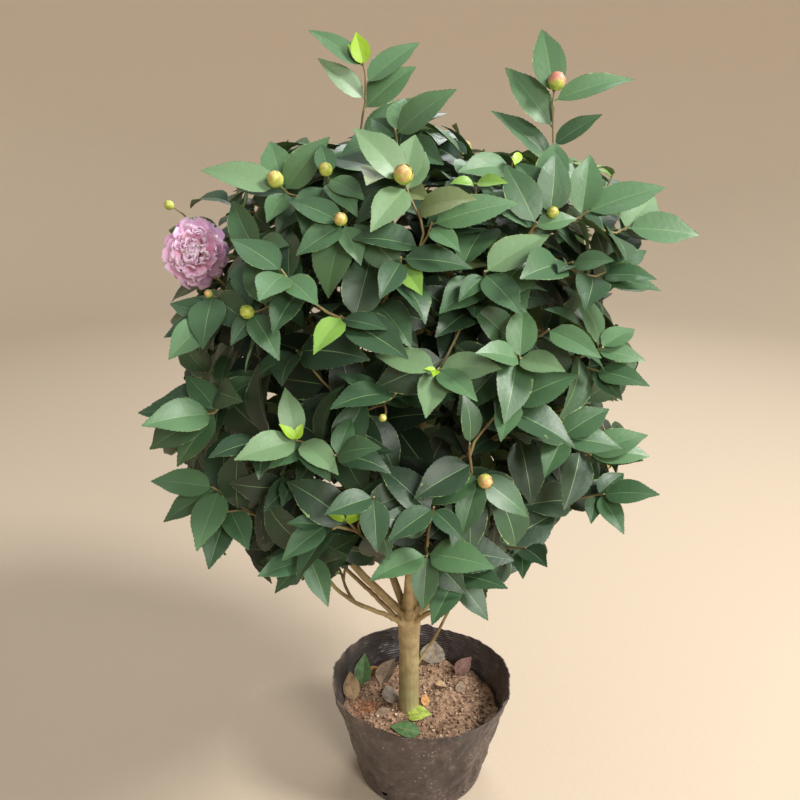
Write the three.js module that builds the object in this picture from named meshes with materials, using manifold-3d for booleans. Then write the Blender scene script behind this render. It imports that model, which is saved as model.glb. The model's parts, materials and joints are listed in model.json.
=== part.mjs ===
// A camellia shrub in a soft nursery pot: a clear trunk that forks into boughs under a round evergreen crown.
// Millimetres, +Z up. The origin is the middle of the pot's flat underside, and the shrub's front faces -Y.
import * as THREE from "three";
import { mergeVertices } from "three/addons/utils/BufferGeometryUtils.js";
import Module from "manifold-3d";

const wasm = await Module();
wasm.setup();

// The pot and what fills it
const POT_HEIGHT = 172;
const POT_RIM_RADIUS = 140;
const POT_BASE_RADIUS = 101;
const POT_WALL = 1.8;
const POT_SIDES = 28;
const RIM_OVAL = 0.016;
const RIM_WANDER = 2.6;
const DRAIN_HOLES = 5;
const DRAIN_RADIUS = 5;
const DRAIN_HEIGHT = 17;
const DRAIN_TURN = 235;
const SOIL_LEVEL = 113;
const SOIL_LUMPS = 4;
const SOIL_CELLS = 7;
const SEAT_RADIUS = 34;
const SEAT_GAP = 0.3;

// The trunk
const TRUNK_X = -20;
const TRUNK_FOOT_RADIUS = 17.6;
const TRUNK_RADIUS = 16.2;
const TRUNK_KNUCKLE_RADIUS = 18.6;
const TRUNK_TOP = 306;
const TRUNK_SIDES = 12;
const TRUNK_STEPS = 6;

// Boughs by what they carry: radii at root and tip, how far under the trunk's top they leave it, and
// how steeply they rise
const LIMB_SIDES = 6;
const LIMB_STEPS = 4;
const CENTRAL_BOUGH = { radii: [11.2, 5.6], under: 6, rise: 8 };
const WAIST_BOUGH = { radii: [6.6, 4.2], under: 30, spread: 8, rise: 1.25 };
const SKIRT_BOUGH = { radii: [4.6, 3.4], under: 58, spread: 12, rise: 1.5 };
const RIGHT_SKIRT_UNDER = 47;
const UPPER_BOUGH = { radii: [5.2, 3.8], rise: 1.7 };
const SUCKER = { radii: [3.2, 2.6] };
const SUCKER_FOOT = new THREE.Vector3(-14, 8, 178);
const SUCKER_HEART = new THREE.Vector3(78, 22, 424);
const BOUGH_FIRMNESS = 0.3;
const BOUGH_DEPTH = 16;

// The crown is widest at its waist and domed above and below it
const CROWN_FOOT = 392;
const CROWN_WAIST = 600;
const CROWN_TOP = 1048;
const CROWN_RADIUS = 356;
const CROWN_BULGE_ABOVE = 2.5;
const CROWN_BULGE_BELOW = 2;
const CROWN_SHIFT = -8;
const CROWN_LEAN = 0.06;
const CROWN_LOBES = 13;
const OUTER_SHOOTS = 96;
const OUTER_INSET = 46;
const INNER_SHOOTS = 12;
const INNER_INSET = 150;
const GOLDEN_ANGLE = Math.PI * (3 - Math.sqrt(5));
const SEED = 4.7;

// Rings of foliage masses: how many, at what height, how far out, and where the first one stands
const TIERS = [
  { name: "skirt", count: 5, height: 505, ring: 200, turn: 234 },
  { name: "waist", count: 5, height: 672, ring: 205, turn: 198 },
  { name: "shoulder", count: 4, height: 850, ring: 172, turn: 190 },
  { name: "top", count: 2, height: 985, ring: 84, turn: 196 },
];
const BORDER = 7;
const EDGE_GAP = 0.4;
const WELD = 0.1;

// Leaves, buds and the bloom
const LEAF_LENGTH = 97;
const LEAF_WIDTH = 49;
const LEAF_THICK = 2.6;
const LEAF_BELLY = 0.46;
const LEAF_ARCH = 0.06;
const LEAF_DROOP = 0.1;
const LEAVES_PER_SHOOT = 5;
const LEAF_NODES = [3, 11, 23, 39, 57];
const LEAF_CLEARANCE = 4;
const OVERHANG = 3;
const TWIG_ROOT_RADIUS = 1.35;
const TWIG_RADIUS = 2.5;
const TWIG_TIP_RADIUS = 2;
const BUD_RADIUS = 9;
const BUD_SHARE = 0.1;
const BLOOM_DIAMETER = 84;
const BLOOM_PETALS = 14;
const LONG_SHOOTS = [new THREE.Vector3(-78, -40, 1086), new THREE.Vector3(150, -60, 1066)];
const BLOOM_CENTRE = new THREE.Vector3(-280, -70, 866);
const BLOOM_FACING = new THREE.Vector3(-0.42, -0.86, 0.28).normalize();

const UP = new THREE.Vector3(0, 0, 1);
const radians = THREE.MathUtils.degToRad;
const mix = THREE.MathUtils.lerp;

// A number from 0 to 1 that depends only on its key, so that every shoot keeps its own habit.
function chance(key) {
  const wave = Math.sin(key * 12.9898 + SEED) * 43758.5453;
  return wave - Math.floor(wave);
}

function sway(key) {
  return new THREE.Vector3(chance(key) - 0.5, chance(key + 0.31) - 0.5, chance(key + 0.62) - 0.5);
}

function spot(x, y, z) {
  return new THREE.Vector3(x, y, z);
}

function around(azimuth, radius, height) {
  return spot(radius * Math.cos(azimuth), radius * Math.sin(azimuth), height);
}

// Closed geometry to solid, and back
function solidOf(geometry) {
  const bare = new THREE.BufferGeometry().setAttribute("position", geometry.attributes.position);
  bare.setIndex(geometry.index);
  const merged = mergeVertices(bare, 1e-3);
  const vertProperties = merged.attributes.position.array;
  const triVerts = new Uint32Array(merged.index.array);
  return new wasm.Manifold(new wasm.Mesh({ numProp: 3, vertProperties, triVerts }));
}

function geometryOf(solid) {
  const mesh = solid.getMesh();
  const geometry = new THREE.BufferGeometry();
  geometry.setAttribute("position", new THREE.BufferAttribute(mesh.vertProperties, 3));
  geometry.setIndex(new THREE.BufferAttribute(mesh.triVerts, 1));
  geometry.computeVertexNormals();
  return geometry;
}

// The one body that a fused piece is: sealed hollows are filled and loose scraps are left out.
function largestBody(solid) {
  const welded = solidOf(geometryOf(solid.simplify(WELD)));
  return welded.decompose().sort((a, b) => b.volume() - a.volume())[0];
}

function warp(geometry, move) {
  const place = geometry.attributes.position;
  const point = new THREE.Vector3();
  for (let i = 0; i < place.count; i += 1) {
    point.fromBufferAttribute(place, i);
    const moved = move(point);
    place.setXYZ(i, moved.x, moved.y, moved.z);
  }
  return geometry;
}

// The middle and the two cross directions of each ring of a limb laid along a curve in straight pieces.
function ringFrames(curve, steps) {
  const centres = curve.getSpacedPoints(steps);
  let side = null;
  return centres.map((centre, i) => {
    const way = centres[Math.min(i + 1, steps)].clone().sub(centres[Math.max(i - 1, 0)]).normalize();
    side = (side ?? (Math.abs(way.z) > 0.9 ? spot(1, 0, 0) : UP)).clone().projectOnPlane(way).normalize();
    return { centre, side, across: new THREE.Vector3().crossVectors(way, side) };
  });
}

// A closed tapering limb along a curve: a cylinder whose rings are set out along it.
function limbSolid(curve, radiusAt, sides, steps) {
  const frames = ringFrames(curve, steps);
  const rod = new THREE.CylinderGeometry(1, 1, 1, sides, steps);
  const laid = warp(rod, (point) => {
    const along = point.y + 0.5;
    const { centre, side, across } = frames[Math.round(along * steps)];
    const radius = radiusAt(along);
    return centre.clone().addScaledVector(across, point.x * radius).addScaledVector(side, point.z * radius);
  });
  return solidOf(laid);
}

function taper(root, tip) {
  return (along) => mix(root, tip, along);
}

// The pot's soft wall is a little oval and its rim wanders up and down.
function softWall(point) {
  const share = Math.min(1, point.z / POT_HEIGHT);
  const azimuth = Math.atan2(point.y, point.x);
  const radius = Math.hypot(point.x, point.y);
  const pull = 1 + RIM_OVAL * share * share * Math.cos(2 * azimuth + 0.5);
  const lift = RIM_WANDER * share ** 6 * (Math.sin(3 * azimuth + 1) + 0.5 * Math.sin(5 * azimuth));
  return around(azimuth, radius * pull, point.z + lift);
}

function wallRadius(height) {
  return mix(POT_BASE_RADIUS, POT_RIM_RADIUS, height / POT_HEIGHT);
}

function revolved(profile) {
  const lathe = new THREE.LatheGeometry(profile.map(([r, z]) => new THREE.Vector2(r, z)), POT_SIDES);
  return solidOf(warp(lathe.rotateX(Math.PI / 2), softWall));
}

const WALL_LEVELS = [0, 0.35, 0.75, 1].map((share) => share * POT_HEIGHT);

function potSolid() {
  const outside = WALL_LEVELS.map((z) => [wallRadius(z), z]);
  const inside = WALL_LEVELS.map((z) => Math.max(z, POT_WALL))
    .reverse()
    .map((z) => [wallRadius(z) - POT_WALL, z]);
  let shell = revolved([[0, 0], ...outside, ...inside, [0, POT_WALL]]);
  for (let i = 0; i < DRAIN_HOLES; i += 1) {
    const azimuth = radians(DRAIN_TURN + (i * 360) / DRAIN_HOLES);
    const drill = new THREE.CylinderGeometry(DRAIN_RADIUS, DRAIN_RADIUS, 24, 6);
    drill.rotateZ(Math.PI / 2).rotateZ(azimuth);
    const centre = around(azimuth, wallRadius(DRAIN_HEIGHT), DRAIN_HEIGHT);
    drill.translate(centre.x, centre.y, centre.z);
    shell = shell.subtract(solidOf(drill));
  }
  return shell;
}

// Lumps and hollows in the soil, dying out to a level seat under the trunk.
function soilRise(x, y) {
  const fromTrunk = Math.hypot(x - TRUNK_X, y);
  const free = THREE.MathUtils.smoothstep(fromTrunk, SEAT_RADIUS, 1.5 * SEAT_RADIUS);
  const waves = Math.sin(x / 23 + 1) * Math.cos(y / 19) + 0.6 * Math.sin(x / 11 - y / 13);
  return free * SOIL_LUMPS * waves;
}

function soilSolid() {
  const reach = (z) => wallRadius(z) - POT_WALL - SEAT_GAP;
  const floor = POT_WALL + SEAT_GAP;
  const side = WALL_LEVELS.slice(1, 3).map((z) => [reach(z), z]);
  const block = revolved([[0, floor], [reach(floor), floor], ...side, [0, WALL_LEVELS[2]]]);
  const span = 2 * POT_RIM_RADIUS + 20;
  const cover = new THREE.BoxGeometry(span, span, 60, SOIL_CELLS, SOIL_CELLS);
  cover.translate(TRUNK_X, 0, SOIL_LEVEL + 30);
  const lid = solidOf(
    warp(cover, (p) => (p.z > SOIL_LEVEL + 1 ? p : spot(p.x, p.y, SOIL_LEVEL + soilRise(p.x, p.y)))),
  );
  return block.subtract(lid);
}

// The trunk swells slightly at its foot and at the knuckle where the boughs leave it.
function trunkRadius(along) {
  const flare = (TRUNK_FOOT_RADIUS - TRUNK_RADIUS) * Math.exp(-along * 9);
  const knuckle = (TRUNK_KNUCKLE_RADIUS - TRUNK_RADIUS) * THREE.MathUtils.smoothstep(along, 0.62, 0.9);
  return TRUNK_RADIUS + flare + knuckle;
}

function trunkCurve() {
  const foot = spot(TRUNK_X, 0, SOIL_LEVEL + SEAT_GAP);
  const top = spot(TRUNK_X, 0, TRUNK_TOP);
  const middle = foot.clone().lerp(top, 0.5).add(spot(1.2, -1, 0));
  return new THREE.QuadraticBezierCurve3(foot, middle, top);
}

function levelled(solid, height) {
  const slab = new THREE.BoxGeometry(400, 400, 100).translate(0, 0, height - 50);
  return solid.subtract(solidOf(slab));
}

// The crown's outline: its radius at a height, and where its middle stands there.
function crownRadius(height) {
  const above = height > CROWN_WAIST;
  const span = above ? CROWN_TOP - CROWN_WAIST : CROWN_WAIST - CROWN_FOOT;
  const bulge = above ? CROWN_BULGE_ABOVE : CROWN_BULGE_BELOW;
  const share = Math.min(1, Math.abs(height - CROWN_WAIST) / span);
  return CROWN_RADIUS * (1 - share ** bulge) ** (1 / bulge);
}

// The lobes that break the outline, as a length to add to the radius.
function lobes(azimuth, height) {
  const broad = Math.sin(3 * azimuth + height / 95 + 0.6);
  return CROWN_LOBES * (broad + 0.6 * Math.cos(5 * azimuth - height / 61));
}

function crownMiddle(height) {
  return TRUNK_X + CROWN_SHIFT + CROWN_LEAN * (height - CROWN_WAIST);
}

// How far inside the crown's outline a point is, roughly square to it.
function depthInCrown(point) {
  const height = THREE.MathUtils.clamp(point.z, CROWN_FOOT + 6, CROWN_TOP - 6);
  const slope = (crownRadius(height + 3) - crownRadius(height - 3)) / 6;
  const x = point.x - crownMiddle(height);
  const side = crownRadius(height) + lobes(Math.atan2(point.y, x), height) - Math.hypot(x, point.y);
  return side / Math.hypot(1, slope) - Math.abs(point.z - height);
}

// Points spread evenly over the crown's outline, each drawn in along the outline's own normal.
function crownShoots(count, inset, key) {
  const bands = 240;
  const rings = [];
  let area = 0;
  for (let i = 0; i <= bands; i += 1) {
    const height = mix(CROWN_FOOT, CROWN_TOP, (1 - Math.cos((Math.PI * i) / bands)) / 2);
    const radius = crownRadius(height);
    const last = rings[i - 1];
    const slant = last ? Math.hypot(radius - last.radius, height - last.height) : 0;
    if (last) area += Math.PI * (radius + last.radius) * slant;
    rings.push({ height, radius, area });
  }
  const shoots = [];
  for (let i = 0; i < count; i += 1) {
    const wanted = ((i + 0.5) / count) * area;
    const at = rings.findIndex((ring) => ring.area >= wanted);
    const upper = rings[at];
    const lower = rings[at - 1];
    const share = (wanted - lower.area) / (upper.area - lower.area);
    const radius = mix(lower.radius, upper.radius, share);
    const height = mix(lower.height, upper.height, share);
    const azimuth = i * GOLDEN_ANGLE + 0.5 * (chance(key + i) - 0.5);
    const rise = lower.radius - upper.radius;
    const run = upper.height - lower.height;
    const normal = around(azimuth, run, rise).normalize();
    const depth = inset + 24 * (chance(key + i + 0.5) - 0.5) - lobes(azimuth, height);
    const point = around(azimuth, radius, height).addScaledVector(normal, -depth);
    shoots.push({ point: point.add(spot(crownMiddle(height), 0, 0)), normal, kind: "leafy" });
  }
  return shoots;
}

// Every mass keeps to the space nearer its own heart than any other's.
function makeMasses() {
  const masses = [];
  for (const tier of TIERS) {
    for (let i = 0; i < tier.count; i += 1) {
      const azimuth = radians(tier.turn + (i * 360) / tier.count);
      const heart = around(azimuth, tier.ring, tier.height).add(spot(crownMiddle(tier.height), 0, 0));
      masses.push({ name: `${tier.name}_mass_${i + 1}`, tier: tier.name, azimuth, heart, tips: [] });
    }
  }
  masses.push({ name: "sucker_mass", tier: "sucker", azimuth: 0, heart: SUCKER_HEART, tips: [] });
  return masses;
}

const masses = makeMasses();

function nearestMass(point) {
  let best = masses[0];
  for (const mass of masses) {
    if (mass.heart.distanceToSquared(point) < best.heart.distanceToSquared(point)) best = mass;
  }
  return best;
}

// How far inside its mass's space a point is, to the nearest neighbour's side of it.
function room(point, mass) {
  let least = Infinity;
  for (const other of masses) {
    if (other === mass) continue;
    const across = other.heart.clone().sub(mass.heart);
    const wall = across.length() / 2;
    least = Math.min(least, wall - point.clone().sub(mass.heart).dot(across.normalize()));
  }
  return least;
}

function drawnIn(point, mass, margin) {
  const moved = point.clone();
  for (let i = 0; i < 60 && room(moved, mass) < margin; i += 1) moved.lerp(mass.heart, 0.04);
  return moved;
}

// Boughs: each leaves the trunk or the central bough and ends where it enters its mass.
const limbs = [];

function beads(curve, radiusAt, count) {
  const found = [];
  for (let i = 0; i <= count; i += 1) {
    found.push({ centre: curve.getPointAt(i / count), radius: radiusAt(i / count) });
  }
  return found;
}

function addLimb(name, curve, radii, cutter) {
  const radiusAt = taper(...radii);
  const whole = limbSolid(curve, radiusAt, LIMB_SIDES, LIMB_STEPS);
  const solid = largestBody(whole.subtract(cutter));
  const clearance = limbSolid(curve, (along) => radiusAt(along) + EDGE_GAP, LIMB_SIDES, LIMB_STEPS);
  limbs.push({ name, curve, solid, clearance, tipRadius: radii[1], beads: beads(curve, radiusAt, 40) });
  return limbs[limbs.length - 1];
}

// The share of a path at which it is well inside its mass's space.
function entryShare(curve, mass) {
  for (let share = 0.2; share < 1; share += 0.02) {
    if (room(curve.getPointAt(share), mass) > BOUGH_DEPTH) return share;
  }
  return 1;
}

function pathToHeart(from, heading, mass) {
  const span = from.distanceTo(mass.heart);
  const first = from.clone().addScaledVector(heading.clone().normalize(), span * BOUGH_FIRMNESS);
  const second = mass.heart.clone().addScaledVector(UP, -BOUGH_FIRMNESS * span);
  return new THREE.CubicBezierCurve3(from, first, second, mass.heart.clone());
}

function upTo(curve, share) {
  const points = [0, 0.25, 0.5, 0.75, 1].map((part) => curve.getPointAt(part * share));
  return new THREE.CatmullRomCurve3(points);
}

const trunk = trunkCurve();
const trunkBody = levelled(limbSolid(trunk, trunkRadius, TRUNK_SIDES, TRUNK_STEPS), SOIL_LEVEL + SEAT_GAP);
const trunkClearance = limbSolid(trunk, (along) => trunkRadius(along) + EDGE_GAP, TRUNK_SIDES, TRUNK_STEPS);
const capBlock = new THREE.CylinderGeometry(40, 40, 60, TRUNK_SIDES).rotateX(Math.PI / 2);
const trunkCap = solidOf(capBlock.translate(TRUNK_X, 0, TRUNK_TOP + SEAT_GAP - 30));

// A mass's bough, and the path beyond its tip along which the mass's own stem goes on.
function growBough(mass, name, from, heading, radii, cutter) {
  mass.path = pathToHeart(from, heading, mass);
  mass.share = entryShare(mass.path, mass);
  mass.limb = addLimb(name, upTo(mass.path, mass.share), radii, cutter);
}

function trunkPoint(under) {
  return spot(TRUNK_X, 0, TRUNK_TOP - under);
}

const centralMass = masses.find((mass) => mass.name === "top_mass_1");
const centralFoot = trunkPoint(CENTRAL_BOUGH.under);
const centralHeading = spot(1, 0, CENTRAL_BOUGH.rise);
growBough(centralMass, "central_bough", centralFoot, centralHeading, CENTRAL_BOUGH.radii, trunkCap);

for (const mass of masses) {
  if (mass === centralMass) continue;
  const out = around(mass.azimuth, 1, 0);
  const whim = chance(mass.heart.x + mass.heart.z);
  const name = mass.name.replace("mass", "bough");
  if (mass.tier === "sucker") {
    growBough(mass, "sucker", SUCKER_FOOT, spot(0.75, 0.25, 1), SUCKER.radii, trunkClearance);
  } else if (mass.tier === "skirt" || mass.tier === "waist") {
    const sort = mass.tier === "skirt" ? SKIRT_BOUGH : WAIST_BOUGH;
    const under = mass.tier === "skirt" && out.x > 0.2 ? RIGHT_SKIRT_UNDER : sort.under;
    const from = trunkPoint(under - sort.spread * whim);
    growBough(mass, name, from, out.addScaledVector(UP, sort.rise), sort.radii, trunkClearance);
  } else {
    const along = mass.tier === "top" ? 0.62 : 0.22 + 0.36 * whim;
    const from = centralMass.limb.curve.getPointAt(along);
    const heading = out.addScaledVector(UP, UPPER_BOUGH.rise);
    growBough(mass, name, from, heading, UPPER_BOUGH.radii, centralMass.limb.clearance);
  }
}

// Shoots: even over the crown, two long leaders above it, and the flowering one at the left shoulder.
const leafyShoots = [
  ...crownShoots(OUTER_SHOOTS, OUTER_INSET, 11),
  ...crownShoots(INNER_SHOOTS, INNER_INSET, 53),
];
for (const shoot of leafyShoots) {
  const mass = nearestMass(shoot.point);
  shoot.point = drawnIn(shoot.point, mass, BORDER);
  mass.tips.push(shoot);
}
for (const point of LONG_SHOOTS) nearestMass(point).tips.push({ point, normal: UP, kind: "long" });
nearestMass(BLOOM_CENTRE).tips.push({ point: BLOOM_CENTRE, normal: BLOOM_FACING, kind: "bloom" });

function clearOfLimbs(point, gap) {
  for (const limb of limbs) {
    for (const bead of limb.beads) {
      if (bead.centre.distanceTo(point) < bead.radius + gap) return false;
    }
  }
  return true;
}

function twigSteps(curve) {
  return curve.getLength() > 150 ? 3 : 2;
}

// The middle of the straight-sided twig that is laid along a curve.
function twigPoint(curve, along) {
  const steps = twigSteps(curve);
  const step = Math.min(steps - 1, Math.floor(along * steps));
  const from = curve.getPointAt(step / steps);
  return from.lerp(curve.getPointAt((step + 1) / steps), along * steps - step);
}

// A twig is narrow where it leaves its parent, so that its foot stays inside it.
function twigRadius(along) {
  return along > 0 ? mix(TWIG_RADIUS, TWIG_TIP_RADIUS, along) : TWIG_ROOT_RADIUS;
}

function twigFits(curve, mass) {
  for (let share = 0.15; share <= 1; share += 0.085) {
    const point = curve.getPointAt(share);
    if (room(point, mass) < TWIG_RADIUS + 1) return false;
    if (!clearOfLimbs(point, TWIG_RADIUS + 1)) return false;
  }
  return true;
}

// What it takes to reach a tip from a fork: the way, the turn, and how far the fork is from the mass's foot.
function effort(fork, point) {
  const way = point.clone().sub(fork.point);
  const span = way.length();
  const turn = 1 - way.divideScalar(span).dot(fork.heading);
  return span * (1 + 0.55 * turn) + 0.2 * fork.run;
}

// Twigs: the nearest tips grow first, and each later twig leaves the tree where it need turn least.
function growTwigs(mass) {
  const start = mass.path.getPointAt(mass.share);
  const heading = mass.path.getTangentAt(mass.share);
  const foot = start.clone().addScaledVector(heading, SEAT_GAP);
  const end = drawnIn(mass.heart, mass, BORDER);
  const bend = foot.clone().addScaledVector(heading, 0.5 * foot.distanceTo(end));
  const spine = new THREE.QuadraticBezierCurve3(foot, bend, end);
  mass.twigs = [{ curve: spine, radiusAt: taper(mass.limb.tipRadius, TWIG_RADIUS) }];
  const forks = [];
  const noteForks = (curve, shares, carried) => {
    for (const share of shares) {
      const run = carried + curve.getLength() * share;
      forks.push({ point: twigPoint(curve, share), heading: curve.getTangentAt(share), run });
    }
  };
  noteForks(spine, [0.12, 0.45, 0.72, 0.97], 0);
  const tips = mass.tips.sort((a, b) => a.point.distanceTo(foot) - b.point.distanceTo(foot));
  for (const tip of tips) {
    tip.outward = spot(tip.point.x - crownMiddle(tip.point.z), tip.point.y, 0).normalize();
    tip.heading = tip.normal.clone();
    if (tip.kind === "leafy") tip.heading.addScaledVector(UP, 0.5).addScaledVector(sway(tip.point.x), 0.4);
    if (tip.kind === "long") tip.heading.addScaledVector(tip.outward, 0.3);
    tip.heading.normalize();
    const ways = forks.map((fork) => ({ fork, cost: effort(fork, tip.point) }));
    ways.sort((a, b) => a.cost - b.cost);
    for (const { fork } of ways.slice(0, 6)) {
      const span = fork.point.distanceTo(tip.point);
      const first = fork.point.clone().addScaledVector(fork.heading, 0.3 * span);
      const second = tip.point.clone().addScaledVector(tip.heading, -0.35 * span);
      const curve = new THREE.CubicBezierCurve3(fork.point, first, second, tip.point);
      if (!twigFits(curve, mass)) continue;
      tip.curve = curve;
      mass.twigs.push({ curve, radiusAt: twigRadius, bears: tip });
      noteForks(curve, [0.35, 0.6], fork.run);
      break;
    }
  }
}

// A leaf of six faces: its edges stand above the keel under its midrib, and its tip droops.
function leafCorners(root, along, face, length, width) {
  const side = new THREE.Vector3().crossVectors(face, along).normalize();
  const at = (l, w, h) => {
    const onKeel = root.clone().addScaledVector(along, l * length);
    return onKeel.addScaledVector(side, w * width).addScaledVector(face, h * length);
  };
  return {
    base: at(0, 0, 0),
    tip: at(1, 0, -LEAF_DROOP),
    left: at(LEAF_BELLY, 0.5, LEAF_ARCH),
    right: at(LEAF_BELLY, -0.5, LEAF_ARCH),
    keel: at(LEAF_BELLY, 0, LEAF_ARCH - LEAF_THICK / length),
  };
}

// Each face of a leaf by its corners: base 0, tip 1, left 2, right 3, keel 4.
const LEAF_FACES = [[0, 3, 2], [1, 2, 3], [0, 2, 4], [1, 4, 2], [0, 4, 3], [1, 3, 4]];

function leafSolid(c) {
  const leaf = new THREE.BufferGeometry().setFromPoints([c.base, c.tip, c.left, c.right, c.keel]);
  leaf.setIndex(LEAF_FACES.flat());
  return solidOf(leaf);
}

// A leaf keeps to its mass's space, off the limbs, and its blade crosses nothing that grows there already.
function leafFits(c, mass, kind, grown) {
  for (const corner of Object.values(c)) {
    if (room(corner, mass) < EDGE_GAP) return false;
    if (kind === "leafy" && depthInCrown(corner) < -OVERHANG) return false;
  }
  for (let l = 0.2; l <= 1; l += 0.2) {
    const middle = c.base.clone().lerp(c.tip, l);
    for (const edge of [c.left, c.right, c.keel]) {
      const sample = middle.clone().lerp(edge, 0.7 * (1 - Math.abs(l - 0.5) * 1.6));
      if (!clearOfLimbs(sample, LEAF_CLEARANCE)) return false;
    }
  }
  const centre = c.base.clone().lerp(c.tip, 0.5);
  const reach = c.base.distanceTo(c.tip) / 2;
  const whole = leafSolid({ ...c, base: c.base.clone().lerp(c.keel, 0.08) });
  const blade = leafSolid({ ...c, base: c.base.clone().lerp(c.keel, 0.45) });
  for (const other of grown) {
    if (other.centre.distanceTo(centre) > other.reach + reach) continue;
    const tested = other.stout ? blade : whole;
    if (!other.solid.intersect(tested).isEmpty()) return false;
  }
  return true;
}

// One leaf of a shoot: its turn about the shoot, its angle from it, and a face held to the light.
function leafAt(tip, index, choice) {
  const length = tip.curve.getLength();
  const share = Math.max(0.1, 1 - LEAF_NODES[index] / length);
  const root = twigPoint(tip.curve, share);
  const axis = tip.heading;
  const e1 = new THREE.Vector3().crossVectors(axis, UP).normalize();
  const e2 = new THREE.Vector3().crossVectors(axis, e1);
  const turn = index * GOLDEN_ANGLE + 6.28 * chance(tip.point.x + tip.point.y) + choice.turn;
  const open = radians(56 + 7 * index + 12 * (chance(tip.point.z + index) - 0.5)) + choice.open;
  const radial = e1.clone().multiplyScalar(Math.cos(turn)).addScaledVector(e2, Math.sin(turn));
  const along = axis.clone().multiplyScalar(Math.cos(open)).addScaledVector(radial, Math.sin(open));
  along.addScaledVector(UP, -0.16).normalize();
  const light = UP.clone().multiplyScalar(0.5).addScaledVector(tip.outward, 0.75);
  light.addScaledVector(sway(tip.point.y + index), 0.4);
  const face = light.addScaledVector(along, -light.dot(along)).normalize();
  const size = choice.size * (0.86 + 0.26 * chance(tip.point.x * 1.7 + index));
  return leafCorners(root, along, face, LEAF_LENGTH * size, LEAF_WIDTH * size);
}

// Where a leaf may grow instead: turned further about its shoot, folded closer to it, or smaller.
const TURNS = [0, 0.4, -0.4, 0.8, -0.8, 1.2, -1.2, 1.7, -1.7, 2.2, -2.2, 2.7, -2.7, 3.1];
const CHOICES = [];
for (const [open, size] of [[0, 1], [-0.35, 1], [0.25, 0.9], [-0.2, 0.78]]) {
  for (const turn of TURNS) CHOICES.push({ turn, open, size });
}

function growLeaves(mass, tip, grown) {
  const first = tip.kind === "bloom" ? 1 : 0;
  for (let i = first; i < LEAVES_PER_SHOOT; i += 1) {
    for (const choice of CHOICES) {
      const corners = leafAt(tip, i, choice);
      if (!leafFits(corners, mass, tip.kind, grown)) continue;
      const solid = leafSolid(corners);
      const centre = corners.base.clone().lerp(corners.tip, 0.5);
      grown.push({ solid, centre, reach: corners.base.distanceTo(corners.tip) / 2 });
      break;
    }
  }
}

function turnedTo(geometry, heading, centre) {
  const turn = new THREE.Quaternion().setFromUnitVectors(UP, heading);
  return geometry.applyQuaternion(turn).translate(centre.x, centre.y, centre.z);
}

// A round flower bud, a little longer than wide, sitting on its shoot's tip.
function budSolid(tip) {
  const bud = new THREE.IcosahedronGeometry(BUD_RADIUS, 0).scale(1, 1, 1.12);
  const centre = tip.point.clone().addScaledVector(tip.heading, 0.75 * BUD_RADIUS);
  return solidOf(turnedTo(bud, tip.heading, centre));
}

// The bloom: a full, ruffled ball of petals, flat behind and domed in front.
function bloomSolid(tip) {
  const radius = BLOOM_DIAMETER / 2;
  const ball = new THREE.SphereGeometry(1, BLOOM_PETALS, 6).rotateX(Math.PI / 2);
  const bloom = warp(ball, (p) => {
    const spread = Math.hypot(p.x, p.y);
    const ruffle = 1 + 0.1 * spread * Math.cos((BLOOM_PETALS / 2) * Math.atan2(p.y, p.x) + 4 * p.z);
    const depth = p.z > 0 ? 0.52 : 0.34;
    return spot(p.x * radius * ruffle, p.y * radius * ruffle, p.z * radius * depth + 8);
  });
  return solidOf(turnedTo(bloom, tip.heading, tip.point));
}

// A mass: its twigs first, then the bloom and the buds, and leaves wherever they still find room.
function growMass(mass) {
  growTwigs(mass);
  const grown = [];
  for (const { curve, radiusAt } of mass.twigs) {
    const solid = limbSolid(curve, radiusAt, 3, twigSteps(curve));
    grown.push({ solid, centre: curve.getPointAt(0.5), reach: curve.getLength() / 2 + 5, stout: true });
  }
  const tips = mass.twigs.slice(1).map((twig) => twig.bears);
  for (const tip of tips) {
    const budded = tip.kind === "long" || chance(tip.point.y * 0.7) < BUD_SHARE;
    const centre = tip.point;
    if (tip.kind === "bloom") {
      grown.push({ solid: bloomSolid(tip), centre, reach: BLOOM_DIAMETER / 2, stout: true });
    } else if (budded && room(centre, mass) > 2.2 * BUD_RADIUS) {
      grown.push({ solid: budSolid(tip), centre, reach: 2 * BUD_RADIUS, stout: true });
    }
  }
  for (const tip of tips) growLeaves(mass, tip, grown);
  const wood = wasm.Manifold.union([trunkClearance, ...limbs.map((limb) => limb.clearance)]);
  const fused = wasm.Manifold.union(grown.map((piece) => piece.solid));
  return largestBody(fused.subtract(wood));
}

// Finishes
function finish(color, roughness) {
  return new THREE.MeshStandardMaterial({ color, roughness, metalness: 0 });
}

const BLACK_PLASTIC = finish(0x3a3633, 0.6);
const SOIL = finish(0x7a5f4c, 0.95);
const BARK = finish(0x9b8761, 0.8);
const FOLIAGE = finish(0x4c7a4e, 0.45);

const shrub = new THREE.Group();

function add(name, solid, material) {
  const mesh = new THREE.Mesh(geometryOf(solid), material);
  mesh.name = name;
  shrub.add(mesh);
}

add("pot", potSolid(), BLACK_PLASTIC);
add("soil", soilSolid(), SOIL);
add("trunk", trunkBody, BARK);
for (const limb of limbs) add(limb.name, limb.solid, BARK);
for (const mass of masses) add(mass.name, growMass(mass), FOLIAGE);

export default shrub;
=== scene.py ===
import json
from bisect import bisect_right
from itertools import accumulate
from math import atan2, cos, exp, floor, hypot, inf, pi, radians, sin, sqrt

import bmesh
import bpy
import numpy as np
from mathutils import Matrix, Vector, noise
from mathutils.bvhtree import BVHTree
from mathutils.kdtree import KDTree

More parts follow.
